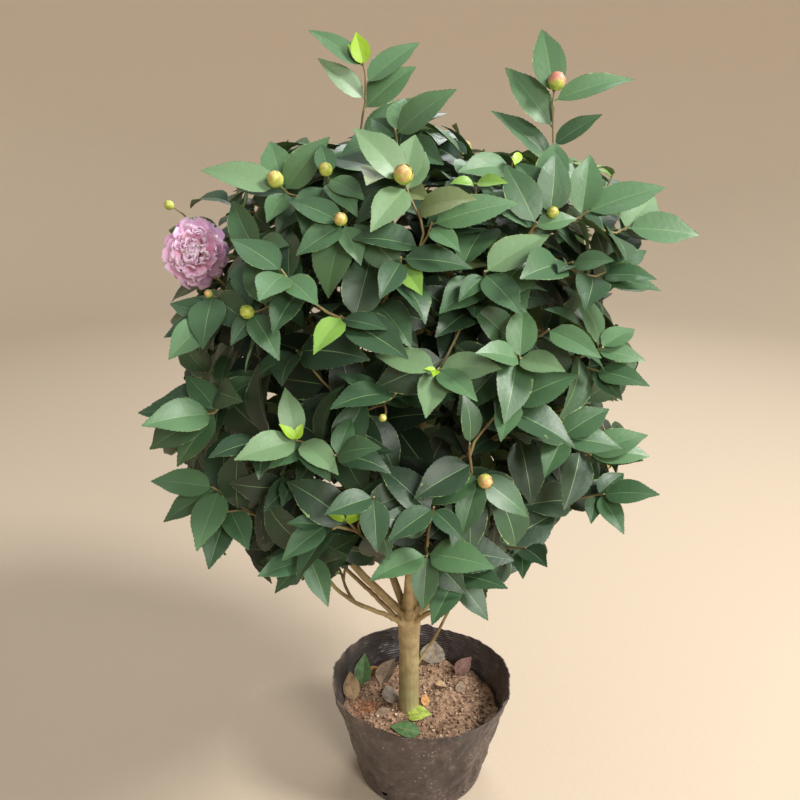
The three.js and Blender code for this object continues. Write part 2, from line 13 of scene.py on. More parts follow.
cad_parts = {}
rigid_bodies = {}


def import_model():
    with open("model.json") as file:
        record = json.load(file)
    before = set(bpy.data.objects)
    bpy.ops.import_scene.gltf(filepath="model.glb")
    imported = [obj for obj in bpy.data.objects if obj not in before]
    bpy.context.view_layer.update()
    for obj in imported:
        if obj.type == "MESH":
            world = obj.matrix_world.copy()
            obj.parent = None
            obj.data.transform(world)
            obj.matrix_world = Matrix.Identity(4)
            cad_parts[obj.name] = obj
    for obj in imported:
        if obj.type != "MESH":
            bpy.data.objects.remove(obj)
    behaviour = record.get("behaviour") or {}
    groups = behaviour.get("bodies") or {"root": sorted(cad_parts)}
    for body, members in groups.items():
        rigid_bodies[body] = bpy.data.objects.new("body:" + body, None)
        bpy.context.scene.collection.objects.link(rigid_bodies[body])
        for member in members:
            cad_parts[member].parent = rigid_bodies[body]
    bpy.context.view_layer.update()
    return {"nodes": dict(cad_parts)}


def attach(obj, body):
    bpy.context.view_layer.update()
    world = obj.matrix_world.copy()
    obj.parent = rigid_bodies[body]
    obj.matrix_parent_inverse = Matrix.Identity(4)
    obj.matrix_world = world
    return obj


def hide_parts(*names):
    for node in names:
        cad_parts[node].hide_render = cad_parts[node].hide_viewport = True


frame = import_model()
MM = 0.001
UP = Vector((0, 0, 1))
print("nodes in the frame:", len(frame["nodes"]))

# %% [markdown]
# ## The camera
# A nursery shrub is usually looked down on a little. The camera stands about a metre in front of the
# trunk, level with the top of the crown, and looks 19.6 degrees down. A lens that is as long as the
# sensor is wide gives the photograph's field of view without any shift.
# %% Camera
CAMERA_PLACE = Vector((-34, -1068, 1027))
CAMERA_PITCH = radians(19.6)
SENSOR_WIDTH = 36
PHOTO_SIZE = 800


def linked(name, data):
    """A new object of the scene, at the origin."""
    made = bpy.data.objects.new(name, data)
    bpy.context.scene.collection.objects.link(made)
    return made


camera_data = bpy.data.cameras.new("camera")
camera_data.sensor_width = camera_data.lens = SENSOR_WIDTH
camera = linked("camera", camera_data)
camera.location = CAMERA_PLACE * MM
camera.rotation_euler = (pi / 2 - CAMERA_PITCH, 0, 0)
bpy.context.scene.camera = camera
print("camera at", tuple(CAMERA_PLACE), "mm")

# %% [markdown]
# ## Stage and light
# The floor is a wide shallow bowl, so that a pale ground runs up behind the plant from every side
# without a horizon. It is one profile that a full spin turns. The light is that of a bright day under
# a shade net: a broad lamp high on the right, a low one in front that reaches the pot under the crown,
# one behind, and an even pale sky.
# %% Stage
STAGE_MIDDLE = 1.2
STAGE_FLOOR = 3.4
STAGE_CURVE = 1.5
STAGE_WALL = 4.5
STAGE_STEPS = 96


def shown(name, mesh, materials=()):
    """A mesh as a piece of the scene, with smooth faces."""
    for material in materials:
        mesh.materials.append(material)
    mesh.shade_smooth()
    return linked(name, mesh)


def spun(profile, steps):
    """A bmesh turned about Z from a profile of (radius, height) pairs, with its poles and seam closed."""
    made = bmesh.new()
    dots = [made.verts.new((radius, 0, height)) for radius, height in profile]
    edges = [made.edges.new(pair) for pair in zip(dots, dots[1:])]
    bmesh.ops.spin(made, geom=dots + edges, axis=UP, angle=2 * pi, steps=steps, use_merge=True)
    bmesh.ops.remove_doubles(made, verts=made.verts, dist=1e-5)
    bmesh.ops.recalc_face_normals(made, faces=made.faces)
    return made


def to_mesh(made, name, scale=1.0):
    mesh = bpy.data.meshes.new(name)
    bmesh.ops.scale(made, verts=made.verts, vec=(scale, scale, scale))
    made.to_mesh(mesh)
    made.free()
    return mesh


bend = [(STAGE_FLOOR + STAGE_CURVE * sin(t), STAGE_CURVE * (1 - cos(t))) for t in np.linspace(0, pi / 2, 12)]
stage_profile = [(0, 0), (STAGE_MIDDLE, 0), *bend, (STAGE_FLOOR + STAGE_CURVE, STAGE_WALL)]
stage_shape = spun(stage_profile, STAGE_STEPS)
bmesh.ops.reverse_faces(stage_shape, faces=stage_shape.faces)
floor_piece = shown("stage_floor", to_mesh(stage_shape, "stage_floor"))
print("stage faces:", len(floor_piece.data.polygons))

# %% Light


def lamp(name, place, aim, size, power, color):
    """A round soft lamp that looks at a point."""
    data = bpy.data.lights.new(name, "AREA")
    data.shape = "DISK"
    data.size = size
    data.energy = power
    data.color = color
    made = linked(name, data)
    made.location = place
    made.rotation_mode = "QUATERNION"
    made.rotation_quaternion = (Vector(aim) - Vector(place)).to_track_quat("-Z", "Y")


CROWN_EYE = (0, 0, 0.65)
POT_EYE = (0, 0, 0.2)
lamp("key_lamp", (2.7, -0.9, 3.3), CROWN_EYE, 1.2, 190, (1, 0.98, 0.94))
lamp("low_lamp", (1.1, -2.4, 1.8), POT_EYE, 1.0, 42, (1, 0.98, 0.95))
lamp("back_lamp", (0.4, 2.4, 2.8), CROWN_EYE, 1.4, 44, (0.97, 0.99, 1))

SKY = {"Color": (0.86, 0.93, 1, 1), "Strength": 0.47}
world = bpy.data.worlds.new("pale_sky")
world.use_nodes = True
for name, value in SKY.items():
    world.node_tree.nodes["Background"].inputs[name].default_value = value
bpy.context.scene.world = world
bpy.context.scene.view_settings.view_transform = "Standard"
print("sky strength:", SKY["Strength"])

# %% [markdown]
# ## Writing materials as sums
# A shader recipe reads best as arithmetic, so a wire is a socket that can be added, multiplied and
# taken from 1, and a finish is a material that makes its nodes through one method. Patterns read
# Object coordinates, which are metres here because every piece stays at the origin.
# %% Wires


class Wire:
    """A socket in a material, with the arithmetic that its recipe needs."""

    def __init__(self, finish, socket):
        self.finish = finish
        self.socket = socket

    def math(self, operation, first, second):
        return self.finish.node("ShaderNodeMath", {0: first, 1: second}, operation=operation)

    def __add__(self, other):
        return self.math("ADD", self, other)

    def __mul__(self, other):
        return self.math("MULTIPLY", self, other)

    def __rsub__(self, other):
        return self.math("SUBTRACT", other, self)

    __radd__ = __add__
    __rmul__ = __mul__

    def between(self, low, high):
        """0 below low, 1 above high, and smooth between them."""
        values = {"Value": self, "From Min": low, "From Max": high}
        return self.finish.node("ShaderNodeMapRange", values, interpolation_type="SMOOTHSTEP")


# %% Finishes


class Finish:
    """A material on its Principled shader, whose other nodes all come from one method."""

    def __init__(self, name, color, roughness, **numbers):
        self.material = bpy.data.materials.new(name)
        self.material.use_nodes = True
        self.tree = self.material.node_tree
        self.shader = self.tree.nodes["Principled BSDF"]
        self.set(Base_Color=tone(color), Roughness=roughness, **numbers)

    def set(self, **values):
        for name, value in values.items():
            self.feed(self.shader.inputs[name.replace("_", " ")], value)
        return self

    def feed(self, socket, value):
        if isinstance(value, Wire):
            self.tree.links.new(value.socket, socket)
        else:
            socket.default_value = value

    def node(self, kind, values, output=0, **settings):
        made = self.tree.nodes.new(kind)
        for name, setting in settings.items():
            setattr(made, name, setting)
        for key, value in values.items():
            self.feed(made.inputs[key], value)
        return Wire(self, made.outputs[output])

    def place(self, stretch=(1, 1, 1)):
        """Object coordinates in metres, stretched along the axes."""
        spot = self.node("ShaderNodeTexCoord", {}, output="Object")
        return self.node("ShaderNodeMapping", {"Vector": spot, "Scale": stretch})

    def grain(self, size, detail=3, stretch=(1, 1, 1), rough=0.5):
        """Noise from 0 to 1 whose features are about size metres across."""
        values = {"Vector": self.place(stretch), "Scale": 1 / size, "Detail": detail, "Roughness": rough}
        return self.node("ShaderNodeTexNoise", values)

    def mark(self, name):
        """A number that the piece's mesh keeps at each of its points."""
        return self.node("ShaderNodeAttribute", {}, output="Fac", attribute_name=name)

    def blend(self, share, *colors):
        """A colour between two, by a share from 0 to 1. The Mix node's colour sockets are 6, 7 and out 2."""
        first, second = (color if isinstance(color, Wire) else tone(color) for color in colors)
        return self.node("ShaderNodeMix", {0: share, 6: first, 7: second}, output=2, data_type="RGBA")

    def relief(self, height, depth, strength=1.0):
        values = {"Height": height, "Distance": depth, "Strength": strength}
        return self.set(Normal=self.node("ShaderNodeBump", values))


def tone(color):
    """A colour given as red, green and blue out of 255, as the linear one that a shader reads."""
    shares = [part / 255 for part in color]
    linear = [s / 12.92 if s <= 0.04045 else ((s + 0.055) / 1.055) ** 2.4 for s in shares]
    return (*linear, 1)


# %% The floor's finish
paving = Finish("pale_floor", (198, 182, 161), 0.85)
paving.relief(paving.grain(0.012, 4), 0.0006)
floor_piece.data.materials.append(paving.material)
print("nodes in the floor's finish:", len(paving.tree.nodes))

# %% [markdown]
# ## The rule that the plant grows by
# The solids were grown by a rule, and the fine crown has to grow on from the same limbs, so the rule is
# written again here. Lengths are millimetres until a mesh is made. Chance is a number that depends only
# on its key, which makes the plant the same at every run.
# %% Numbers shared with the solids
POT_HEIGHT = 172
POT_RIM_RADIUS = 140
POT_BASE_RADIUS = 101
POT_WALL = 1.8
RIM_OVAL = 0.016
RIM_WANDER = 2.6
SOIL_LEVEL = 113
SOIL_LUMPS = 4
SEAT_RADIUS = 34
TRUNK_X = -20
TRUNK_FOOT_RADIUS = 17.6
TRUNK_RADIUS = 16.2
TRUNK_KNUCKLE_RADIUS = 18.6
TRUNK_TOP = 306
CENTRAL_BOUGH = {"radii": (11.2, 5.6), "under": 6, "rise": 8}
WAIST_BOUGH = {"radii": (6.6, 4.2), "under": 30, "spread": 8, "rise": 1.25}
SKIRT_BOUGH = {"radii": (4.6, 3.4), "under": 58, "spread": 12, "rise": 1.5}
RIGHT_SKIRT_UNDER = 47
UPPER_BOUGH = {"radii": (5.2, 3.8), "rise": 1.7}
SUCKER_RADII = (3.2, 2.6)
SUCKER_FOOT = Vector((-14, 8, 178))
SUCKER_HEART = Vector((78, 22, 424))
SUCKER_HEADING = Vector((0.75, 0.25, 1))
TOP_FORK = 0.62
SHOULDER_FORKS = (0.22, 0.36)
BOUGH_FIRMNESS = 0.3
BOUGH_DEPTH = 16
CROWN_FOOT = 392
CROWN_WAIST = 600
CROWN_TOP = 1048
CROWN_RADIUS = 356
CROWN_SHIFT = -8
CROWN_LEAN = 0.06
CROWN_LOBES = 13
OUTER_SHOOTS = 96
OUTER_INSET = 46
INNER_SHOOTS = 12
INNER_INSET = 150
GOLDEN_ANGLE = pi * (3 - sqrt(5))
SEED = 4.7
# Each tier of masses: its name, how many, the height and the ring of their hearts, and its turn in degrees.
TIERS = (
    ("skirt", 5, 505, 200, 234),
    ("waist", 5, 672, 205, 198),
    ("shoulder", 4, 850, 172, 190),
    ("top", 2, 985, 84, 196),
)
BORDER = 7
LONG_SHOOTS = (Vector((-78, -40, 1086)), Vector((150, -60, 1066)))
BLOOM_CENTRE = Vector((-280, -70, 866))
BLOOM_FACING = Vector((-0.42, -0.86, 0.28)).normalized()

# %% Chance and lines


def chance(key):
    wave = sin(key * 12.9898 + SEED) * 43758.5453
    return wave - floor(wave)


def sway(key):
    return Vector((chance(key) - 0.5, chance(key + 0.31) - 0.5, chance(key + 0.62) - 0.5))


def mix(first, second, share):
    return first + (second - first) * share


def step_up(value, low, high):
    share = min(1, max(0, (value - low) / (high - low)))
    return share * share * (3 - 2 * share)


def around(azimuth, radius, height):
    return Vector((radius * cos(azimuth), radius * sin(azimuth), height))


class Line:
    """A curved line, read by the share of its length from 0 to 1."""

    def __init__(self, points):
        self.points = points
        self.marks = [0, *accumulate((b - a).length for a, b in zip(points, points[1:]))]
        self.length = self.marks[-1]

    def at(self, share):
        wanted = min(max(share, 0), 1) * self.length
        i = min(bisect_right(self.marks, wanted), len(self.points) - 1)
        span = self.marks[i] - self.marks[i - 1]
        return self.points[i - 1].lerp(self.points[i], (wanted - self.marks[i - 1]) / span)

    def heading(self, share):
        return (self.at(min(1, share + 0.02)) - self.at(max(0, share - 0.02))).normalized()


def bezier(*handles, steps=20):
    """A Bezier line of any degree, by repeated halving between its handles."""
    points = []
    for i in range(steps + 1):
        row = list(handles)
        while len(row) > 1:
            row = [a.lerp(b, i / steps) for a, b in zip(row, row[1:])]
        points.append(row[0])
    return Line(points)


# %% [markdown]
# The crown is a solid of revolution that leans a little, with lobes that break its outline. Shoot tips
# are spread over it by the golden angle, the same way that seeds fill a sunflower, because that
# covers any round form evenly without a grid showing.
# %% The crown's outline


def crown_radius(height):
    above = height > CROWN_WAIST
    span = CROWN_TOP - CROWN_WAIST if above else CROWN_WAIST - CROWN_FOOT
    bulge = 2.5 if above else 2
    share = min(1, abs(height - CROWN_WAIST) / span)
    return CROWN_RADIUS * (1 - share**bulge) ** (1 / bulge)


def lobes(azimuth, height):
    broad = sin(3 * azimuth + height / 95 + 0.6)
    return CROWN_LOBES * (broad + 0.6 * cos(5 * azimuth - height / 61))


def crown_middle(height):
    return TRUNK_X + CROWN_SHIFT + CROWN_LEAN * (height - CROWN_WAIST)


def depth_in_crown(point):
    """How far inside the crown's outline a point is, roughly square to it."""
    height = min(CROWN_TOP - 6, max(CROWN_FOOT + 6, point.z))
    slope = (crown_radius(height + 3) - crown_radius(height - 3)) / 6
    x = point.x - crown_middle(height)
    side = crown_radius(height) + lobes(atan2(point.y, x), height) - hypot(x, point.y)
    return side / hypot(1, slope) - abs(point.z - height)


# %% Shoots spread over the crown
CROWN_BANDS = 240
INSET_WANDER = 24


def crown_shoots(count, inset, key):
    """Shoot tips spread evenly over the crown, each with the way out of the crown there."""
    rings = []
    area = 0
    for i in range(CROWN_BANDS + 1):
        height = mix(CROWN_FOOT, CROWN_TOP, (1 - cos(pi * i / CROWN_BANDS)) / 2)
        radius = crown_radius(height)
        if rings:
            area += pi * (radius + rings[-1][1]) * hypot(radius - rings[-1][1], height - rings[-1][0])
        rings.append((height, radius, area))
    areas = [ring[2] for ring in rings]
    shoots = []
    for i in range(count):
        wanted = (i + 0.5) / count * area
        at = bisect_right(areas, wanted)
        low, high = rings[at - 1], rings[at]
        share = (wanted - low[2]) / (high[2] - low[2])
        height, radius = mix(low[0], high[0], share), mix(low[1], high[1], share)
        azimuth = i * GOLDEN_ANGLE + 0.5 * (chance(key + i) - 0.5)
        normal = around(azimuth, high[0] - low[0], low[1] - high[1]).normalized()
        depth = inset + INSET_WANDER * (chance(key + i + 0.5) - 0.5) - lobes(azimuth, height)
        point = around(azimuth, radius, height) - normal * depth
        point.x += crown_middle(height)
        shoots.append({"point": point, "normal": normal, "kind": "leafy"})
    return shoots


# %% [markdown]
# Each mass of foliage owns the space that is nearer its own heart than any other's. Its bough leaves the
# trunk or the central bough, and beyond the bough's tip a stem runs on to the heart.
# %% Masses
masses = []
for tier, count, height, ring, turn in TIERS:
    for i in range(count):
        azimuth = radians(turn + i * 360 / count)
        heart = around(azimuth, ring, height) + Vector((crown_middle(height), 0, 0))
        masses.append({"name": f"{tier}_mass_{i + 1}", "tier": tier, "azimuth": azimuth, "heart": heart})
masses.append({"name": "sucker_mass", "tier": "sucker", "azimuth": 0, "heart": SUCKER_HEART})
for mass in masses:
    mass["tips"] = []
print("masses:", len(masses))


def nearest_mass(point):
    return min(masses, key=lambda mass: (mass["heart"] - point).length_squared)


def room(point, mass):
    """How far inside its mass's space a point is, to the nearest neighbour's side of it."""
    least = inf
    for other in masses:
        if other is not mass:
            across = other["heart"] - mass["heart"]
            span = across.length
            least = min(least, span / 2 - (point - mass["heart"]).dot(across) / span)
    return least


def drawn_in(point, mass, margin):
    """A point moved towards its mass's heart until it keeps a margin from the neighbours' space."""
    moved = point.copy()
    for _ in range(60):
        if room(moved, mass) >= margin:
            break
        moved = moved.lerp(mass["heart"], 0.04)
    return moved


# %% Their boughs


def entry_share(line, mass):
    """The share of a line at which it is well inside its mass's space, where the bough ends."""
    for i in range(40):
        share = 0.2 + 0.02 * i
        if room(line.at(share), mass) > BOUGH_DEPTH:
            return share
    return 1


def grow_bough(mass, start, heading, radii):
    span = (mass["heart"] - start).length
    first = start + heading.normalized() * span * BOUGH_FIRMNESS
    second = mass["heart"] - UP * BOUGH_FIRMNESS * span
    mass["path"] = bezier(start, first, second, mass["heart"])
    mass["share"] = entry_share(mass["path"], mass)
    mass["bough"] = Line([mass["path"].at(mass["share"] * i / 16) for i in range(17)])
    mass["radii"] = radii


def trunk_point(under):
    return Vector((TRUNK_X, 0, TRUNK_TOP - under))


central = next(mass for mass in masses if mass["name"] == "top_mass_1")
steep = Vector((1, 0, CENTRAL_BOUGH["rise"]))
grow_bough(central, trunk_point(CENTRAL_BOUGH["under"]), steep, CENTRAL_BOUGH["radii"])
for mass in masses:
    if mass is central:
        continue
    out = around(mass["azimuth"], 1, 0)
    whim = chance(mass["heart"].x + mass["heart"].z)
    if mass["tier"] == "sucker":
        grow_bough(mass, SUCKER_FOOT, SUCKER_HEADING, SUCKER_RADII)
    elif mass["tier"] in ("skirt", "waist"):
        sort = SKIRT_BOUGH if mass["tier"] == "skirt" else WAIST_BOUGH
        under = RIGHT_SKIRT_UNDER if mass["tier"] == "skirt" and out.x > 0.2 else sort["under"]
        start = trunk_point(under - sort["spread"] * whim)
        grow_bough(mass, start, out + UP * sort["rise"], sort["radii"])
    else:
        along = TOP_FORK if mass["tier"] == "top" else SHOULDER_FORKS[0] + SHOULDER_FORKS[1] * whim
        grow_bough(mass, central["bough"].at(along), out + UP * UPPER_BOUGH["rise"], UPPER_BOUGH["radii"])
print("boughs:", len(masses), "longest", round(max(m["bough"].length for m in masses)), "mm")

# %% [markdown]
# ## Shoots
# The solids carry 111 shoot tips. The fine crown keeps them and fills the gaps between them with more,
# down to the spacing of real camellia shoots. Some shoots are known by where they show in the
# photograph: those that end in a bud, the pale young ones, and the sprays that stand clear. A line of
# sight through that spot is followed to the crown's outline, and the shoot ends there.
# %% Where the shoots end
# Each layer of shoots that fills the gaps: how many, how deep, and the key of its chance.
FINE_SHOOTS = ((210, 34, 71), (90, 100, 131), (30, 170, 193))
DEPTH_SPREAD = 76
DEEPER_SHARE = 0.34
LEAST_SPACING = 44
HOLLOWS = 0.24
HOLLOW_SIZE = 92
# Each bud: across and down in the photograph, and its size there.
BUD_SPOTS = (
    (279, 185, 16),
    (328, 174, 13),
    (404, 180, 19),
    (342, 222, 13),
    (250, 313, 14),
    (482, 479, 15),
    (173, 207, 9),
    (211, 295, 8),
    (551, 215, 11),
    (383, 418, 8),
)
# %% The crown's outline in the photograph
# In its pixels, with the leaf tips that stick out and the bays between them. The sides are (down,
# across), the top and the underside (across, down).
LEFT_EDGE = (
    *((86, 400), (118, 371), (127, 354), (133, 352), (137, 268), (150, 266), (163, 256), (170, 203)),
    *((177, 206), (197, 184), (214, 176), (222, 160), (280, 160), (287, 147), (300, 168), (330, 162)),
    *((338, 165), (346, 182), (359, 169), (368, 184), (384, 182), (392, 160), (403, 150), (413, 139)),
    *((424, 143), (434, 152), (448, 148), (455, 165), (463, 179), (474, 170), (482, 152), (491, 165)),
    *((501, 174), (510, 168), (521, 165), (529, 190), (540, 196), (551, 197), (560, 206), (568, 209)),
    *((572, 250), (577, 258), (592, 275), (596, 300), (605, 326)),
)
RIGHT_EDGE = (
    *((86, 460), (110, 545), (139, 556), (150, 566), (154, 600), (163, 612), (176, 622), (186, 627)),
    *((190, 664), (196, 656), (222, 656), (228, 676), (237, 697), (243, 660), (252, 646), (262, 632)),
    *((274, 654), (290, 660), (294, 625), (299, 606), (311, 604), (321, 624), (328, 635), (336, 625)),
    *((346, 634), (357, 683), (364, 645), (375, 640), (385, 649), (389, 626), (400, 622), (406, 604)),
    *((418, 606), (424, 628), (433, 648), (440, 630), (454, 650), (462, 640), (467, 612), (474, 625)),
    *((480, 624), (487, 646), (494, 659), (499, 630), (507, 613), (533, 625), (537, 556), (566, 545)),
    *((576, 523), (587, 507), (591, 489), (623, 486)),
)
TOP_EDGE = (
    *((139, 400), (145, 285), (160, 222), (202, 170), (256, 163), (268, 139), (328, 136), (345, 140)),
    *((353, 126), (371, 117), (385, 104), (403, 95), (430, 91), (459, 86), (461, 128), (472, 146)),
    *((489, 152), (535, 149), (546, 139), (556, 138), (567, 150), (597, 153), (608, 162), (626, 186)),
    *((664, 188), (672, 226), (697, 236)),
)
UNDERSIDE = (
    *((139, 430), (166, 523), (197, 552), (209, 569), (238, 547), (250, 557), (258, 577), (275, 593)),
    *((298, 586), (328, 606), (337, 578), (359, 588), (362, 562), (372, 578), (410, 572), (423, 610)),
    *((432, 624), (446, 600), (459, 596), (487, 620), (493, 584), (507, 588), (515, 566), (523, 577)),
    *((546, 564), (551, 530), (575, 508), (591, 524), (601, 506), (624, 534), (630, 498), (659, 496)),
    *((664, 400), (686, 375), (697, 240)),
)
EDGE_MARGIN = 15
# The fork and the boughs that show bare: across, down, half the width and half the height.
BOUGH_WINDOW = (380, 606, 28, 40)

# %% Young shoots and clear sprays
# Each young shoot: across, down, and the size of its first leaf as a share of a grown one.
YOUNG_SPOTS = (
    (295, 440, 0.3),
    (437, 370, 0.22),
    (513, 158, 0.3),
    (475, 183, 0.45),
    (613, 175, 0.42),
    (345, 520, 0.3),
    (610, 345, 0.3),
)
# The sprays that the photograph shows clearly: where each is, the tint of its leaves, and where they end.
# Each tint is partly the spray's own colour and partly painted shade: it is set darker where the lamps
# light a spray brightly, as at the bottom and the right of the crown. A leaf that is much paler or
# darker than its spray has its own tint as well.
SPRAYS = {
    (437, 370): (4, ((376, 357), (392, 411), (477, 400), (501, 367), (426, 418))),
    (521, 358): (4, ((523, 305), (477, 352), (565, 371))),
    (515, 400): (3, ((501, 440), (474, 383), (578, 373))),
    (568, 438): (3, ((514, 428), (545, 475), (609, 408), (622, 448))),
    (482, 479): (3, ((422, 504), (462, 536), (529, 516), (543, 474))),
    (374, 497): (3, ((325, 515), (377, 552), (321, 490))),
    (434, 507): (2, ((389, 542), (464, 540))),
    (295, 440): (4, ((285, 389), (235, 460), (338, 473), (330, 480), (269, 469))),
    (335, 455): (3, ((379, 446), (351, 417))),
    (259, 440): (2, ((209, 458), (259, 480))),
    (323, 525): (2, ((287, 523), (282, 559), (365, 538))),
    (293, 477): (1, ((282, 505), (323, 503), (264, 511))),
    (342, 222): (3, ((289, 200), (297, 256), (361, 264))),
    (281, 269): (4, ((231, 239), (259, 302), (318, 307))),
    (250, 313): (3, ((279, 358), (231, 345), (205, 296))),
    (341, 316): (3, ((314, 352, 6), (388, 331))),
    (401, 257): (2, ((473, 266), (380, 300), (422, 294, 6))),
    (432, 222): (4, ((518, 203), (460, 251))),
    (485, 271): (4, ((549, 237), (521, 313), (459, 301))),
    (404, 180): (5, ((354, 127), (415, 133), (371, 231), (425, 149))),
    (279, 185): (4, ((202, 172), (270, 139), (329, 137), (267, 222))),
    (328, 174): (4, ((321, 145), (365, 200), (357, 214))),
    (395, 129): (4, ((404, 96), (455, 88), (371, 118))),
    (551, 193): (4, ((555, 139),)),
    (537, 222): (3, ((505, 165), (577, 218))),
    (588, 210): (4, ((664, 189), (623, 200), (590, 154))),
    (629, 226): (5, ((697, 237, 4), (655, 197, 5))),
    (606, 272): (3, ((646, 251), (656, 277), (660, 291))),
    (573, 262): (3, ((614, 261), (559, 270))),
    (549, 329): (4, ((601, 357), (552, 298))),
    (603, 347): (4, ((635, 328), (683, 357), (645, 361))),
    (598, 371): (3, ((649, 385), (622, 400))),
    (591, 455): (3, ((648, 433), (650, 454), (643, 460))),
    (604, 494): (3, ((659, 494), (624, 533), (624, 472), (591, 524))),
    (526, 548): (2, ((546, 564), (523, 577))),
    (209, 414): (3, ((139, 413), (143, 424), (148, 448), (177, 466), (186, 376))),
    (212, 487): (3, ((152, 482), (165, 522), (197, 551))),
    (207, 318): (3, ((169, 359), (165, 338), (171, 305))),
    (216, 277): (1, ((147, 287, 4),)),
    (225, 512): (2, ((209, 569), (248, 548))),
    (303, 562): (2, ((258, 577), (275, 593), (328, 606))),
    (427, 556): (3, ((370, 578), (423, 610), (494, 567))),
    (456, 581): (2, ((432, 624), (487, 620), (507, 588))),
}

# %% Between the photograph and the crown
SIGHT_RANGE = range(500, 1300, 4)


def line_of_sight(x, y):
    """The direction from the camera through a spot of the photograph."""
    flat = Vector(((x - PHOTO_SIZE / 2) / PHOTO_SIZE, 1, (PHOTO_SIZE / 2 - y) / PHOTO_SIZE))
    return (Matrix.Rotation(-CAMERA_PITCH, 3, "X") @ flat).normalized()


def on_crown(x, y, depth):
    """The first point on a line of sight that is depth inside the crown, or the one that comes closest."""
    way = line_of_sight(x, y)
    points = [CAMERA_PLACE + way * far for far in SIGHT_RANGE]
    depths = [depth_in_crown(point) for point in points]
    for point, found in zip(points, depths):
        if found > depth:
            return point
    return points[depths.index(max(depths))]


TO_CAMERA = np.array(Matrix.Rotation(CAMERA_PITCH, 3, "X"))
EDGES = [np.array(edge).T for edge in (LEFT_EDGE, RIGHT_EDGE, TOP_EDGE, UNDERSIDE)]


def seen_in_photo(places):
    """Where points show in the photograph, in its pixels, and how far they are along the camera's axis."""
    seen = (np.array(places) - np.array(CAMERA_PLACE)) @ TO_CAMERA.T
    across = PHOTO_SIZE / 2 + PHOTO_SIZE * seen[:, 0] / seen[:, 1]
    down = PHOTO_SIZE / 2 - PHOTO_SIZE * seen[:, 2] / seen[:, 1]
    return across, down, seen[:, 1]


def spot_in_photo(point):
    """Where one point shows: across, down and how far."""
    return [value[0] for value in seen_in_photo([point])]


# %% Inside the outline


def outside_crown(places, margin):
    """Whether any point shows outside the crown's outline in the photograph, or within a margin of it."""
    across, down, _ = seen_in_photo(places)
    left, right, top, underside = EDGES
    return bool(
        np.any(across - margin < np.interp(down, *left))
        or np.any(across + margin > np.interp(down, *right))
        or np.any(down - margin < np.interp(across, *top))
        or np.any(down + margin > np.interp(across, *underside))
    )


def within_outline(point):
    """A shoot's end, drawn in until its leaves have room inside the outline."""
    moved = point.copy()
    for _ in range(14):
        if not outside_crown([moved], EDGE_MARGIN):
            break
        inward = Vector((crown_middle(moved.z), 0, mix(moved.z, CROWN_WAIST + 60, 0.3)))
        moved = moved.lerp(inward, 0.05)
    return moved


def crown_normal(point):
    """The way out of the crown at a point, from how its depth changes."""
    steps = [Vector((3, 0, 0)), Vector((0, 3, 0)), Vector((0, 0, 3))]
    return -Vector([depth_in_crown(point + s) - depth_in_crown(point - s) for s in steps]).normalized()


def in_window(point):
    """Whether a point would stand before the fork and the boughs, which the photograph shows bare."""
    across, down, _ = spot_in_photo(point)
    x, y, wide, high = BOUGH_WINDOW
    return abs(across - x) < wide and abs(down - y) < high


# %% Each shoot to its mass


def settle(shoot, margin=BORDER):
    """Gives a shoot to the mass whose space it is in, unless it would stand before the bare fork."""
    if shoot["kind"] == "leafy":
        shoot["point"] = within_outline(shoot["point"])
    if in_window(shoot["point"]) and "spray" not in shoot:
        return
    mass = nearest_mass(shoot["point"])
    shoot["point"] = drawn_in(shoot["point"], mass, margin)
    mass["tips"].append(shoot)


for shoot in crown_shoots(OUTER_SHOOTS, OUTER_INSET, 11) + crown_shoots(INNER_SHOOTS, INNER_INSET, 53):
    settle(shoot)
for number, point in enumerate(LONG_SHOOTS):
    nearest_mass(point)["tips"].append({"point": point, "normal": UP, "kind": "long", "sprig": number})
nearest_mass(BLOOM_CENTRE)["tips"].append({"point": BLOOM_CENTRE, "normal": BLOOM_FACING, "kind": "bloom"})


def all_tips():
    return [tip for mass in masses for tip in mass["tips"]]


def settle_in_photo(x, y, kind, depth, **more):
    """Adds a shoot that ends where the photograph shows it."""
    point = on_crown(x, y, depth)
    shoot = {"point": point, "normal": crown_normal(point), "kind": kind, **more}
    if (x, y) in SPRAYS:
        shoot["spray"] = SPRAYS[x, y]
    settle(shoot, 1)


for x, y, size in BUD_SPOTS:
    settle_in_photo(x, y, "budded", 12, bud=size)
for x, y, size in YOUNG_SPOTS:
    settle_in_photo(x, y, "young", 14, young=size)
seats = {(x, y) for x, y, _ in (*BUD_SPOTS, *YOUNG_SPOTS)}
for (x, y), (tint, _) in SPRAYS.items():
    if (x, y) not in seats:
        settle_in_photo(x, y, "rosette", 40 if tint < 2 else 10)
for count, inset, key in FINE_SHOOTS:
    for shoot in crown_shoots(count, inset, key):
        shoot["point"] -= shoot["normal"] * DEPTH_SPREAD * (chance(shoot["point"].x) - DEEPER_SHARE)
        if noise.noise(shoot["point"] / HOLLOW_SIZE) > HOLLOWS:
            continue
        if min((shoot["point"] - tip["point"]).length for tip in all_tips()) > LEAST_SPACING:
            settle(shoot)
print("shoot tips:", len(all_tips()))

# %% [markdown]
# Twigs grow to the nearest tips first. Each later twig leaves the tree at the fork from which it has the
# shortest way and the least turn, which is roughly what makes a real branch economical.
# %% Where a twig may go
BEADS = 41
TWIG_MARGIN = 2.5
BOUGH_GAP = 7
TURN_COST = 0.55
RUN_COST = 0.2
STEM_FORKS = (0.12, 0.45, 0.72, 0.97)
TWIG_FORKS = (0.35, 0.6)
FORKS_TRIED = 8

bough_beads = KDTree(BEADS * len(masses))
for number, mass in enumerate(masses):
    for i in range(BEADS):
        bough_beads.insert(mass["bough"].at(i / (BEADS - 1)), number * BEADS + i)
bough_beads.balance()


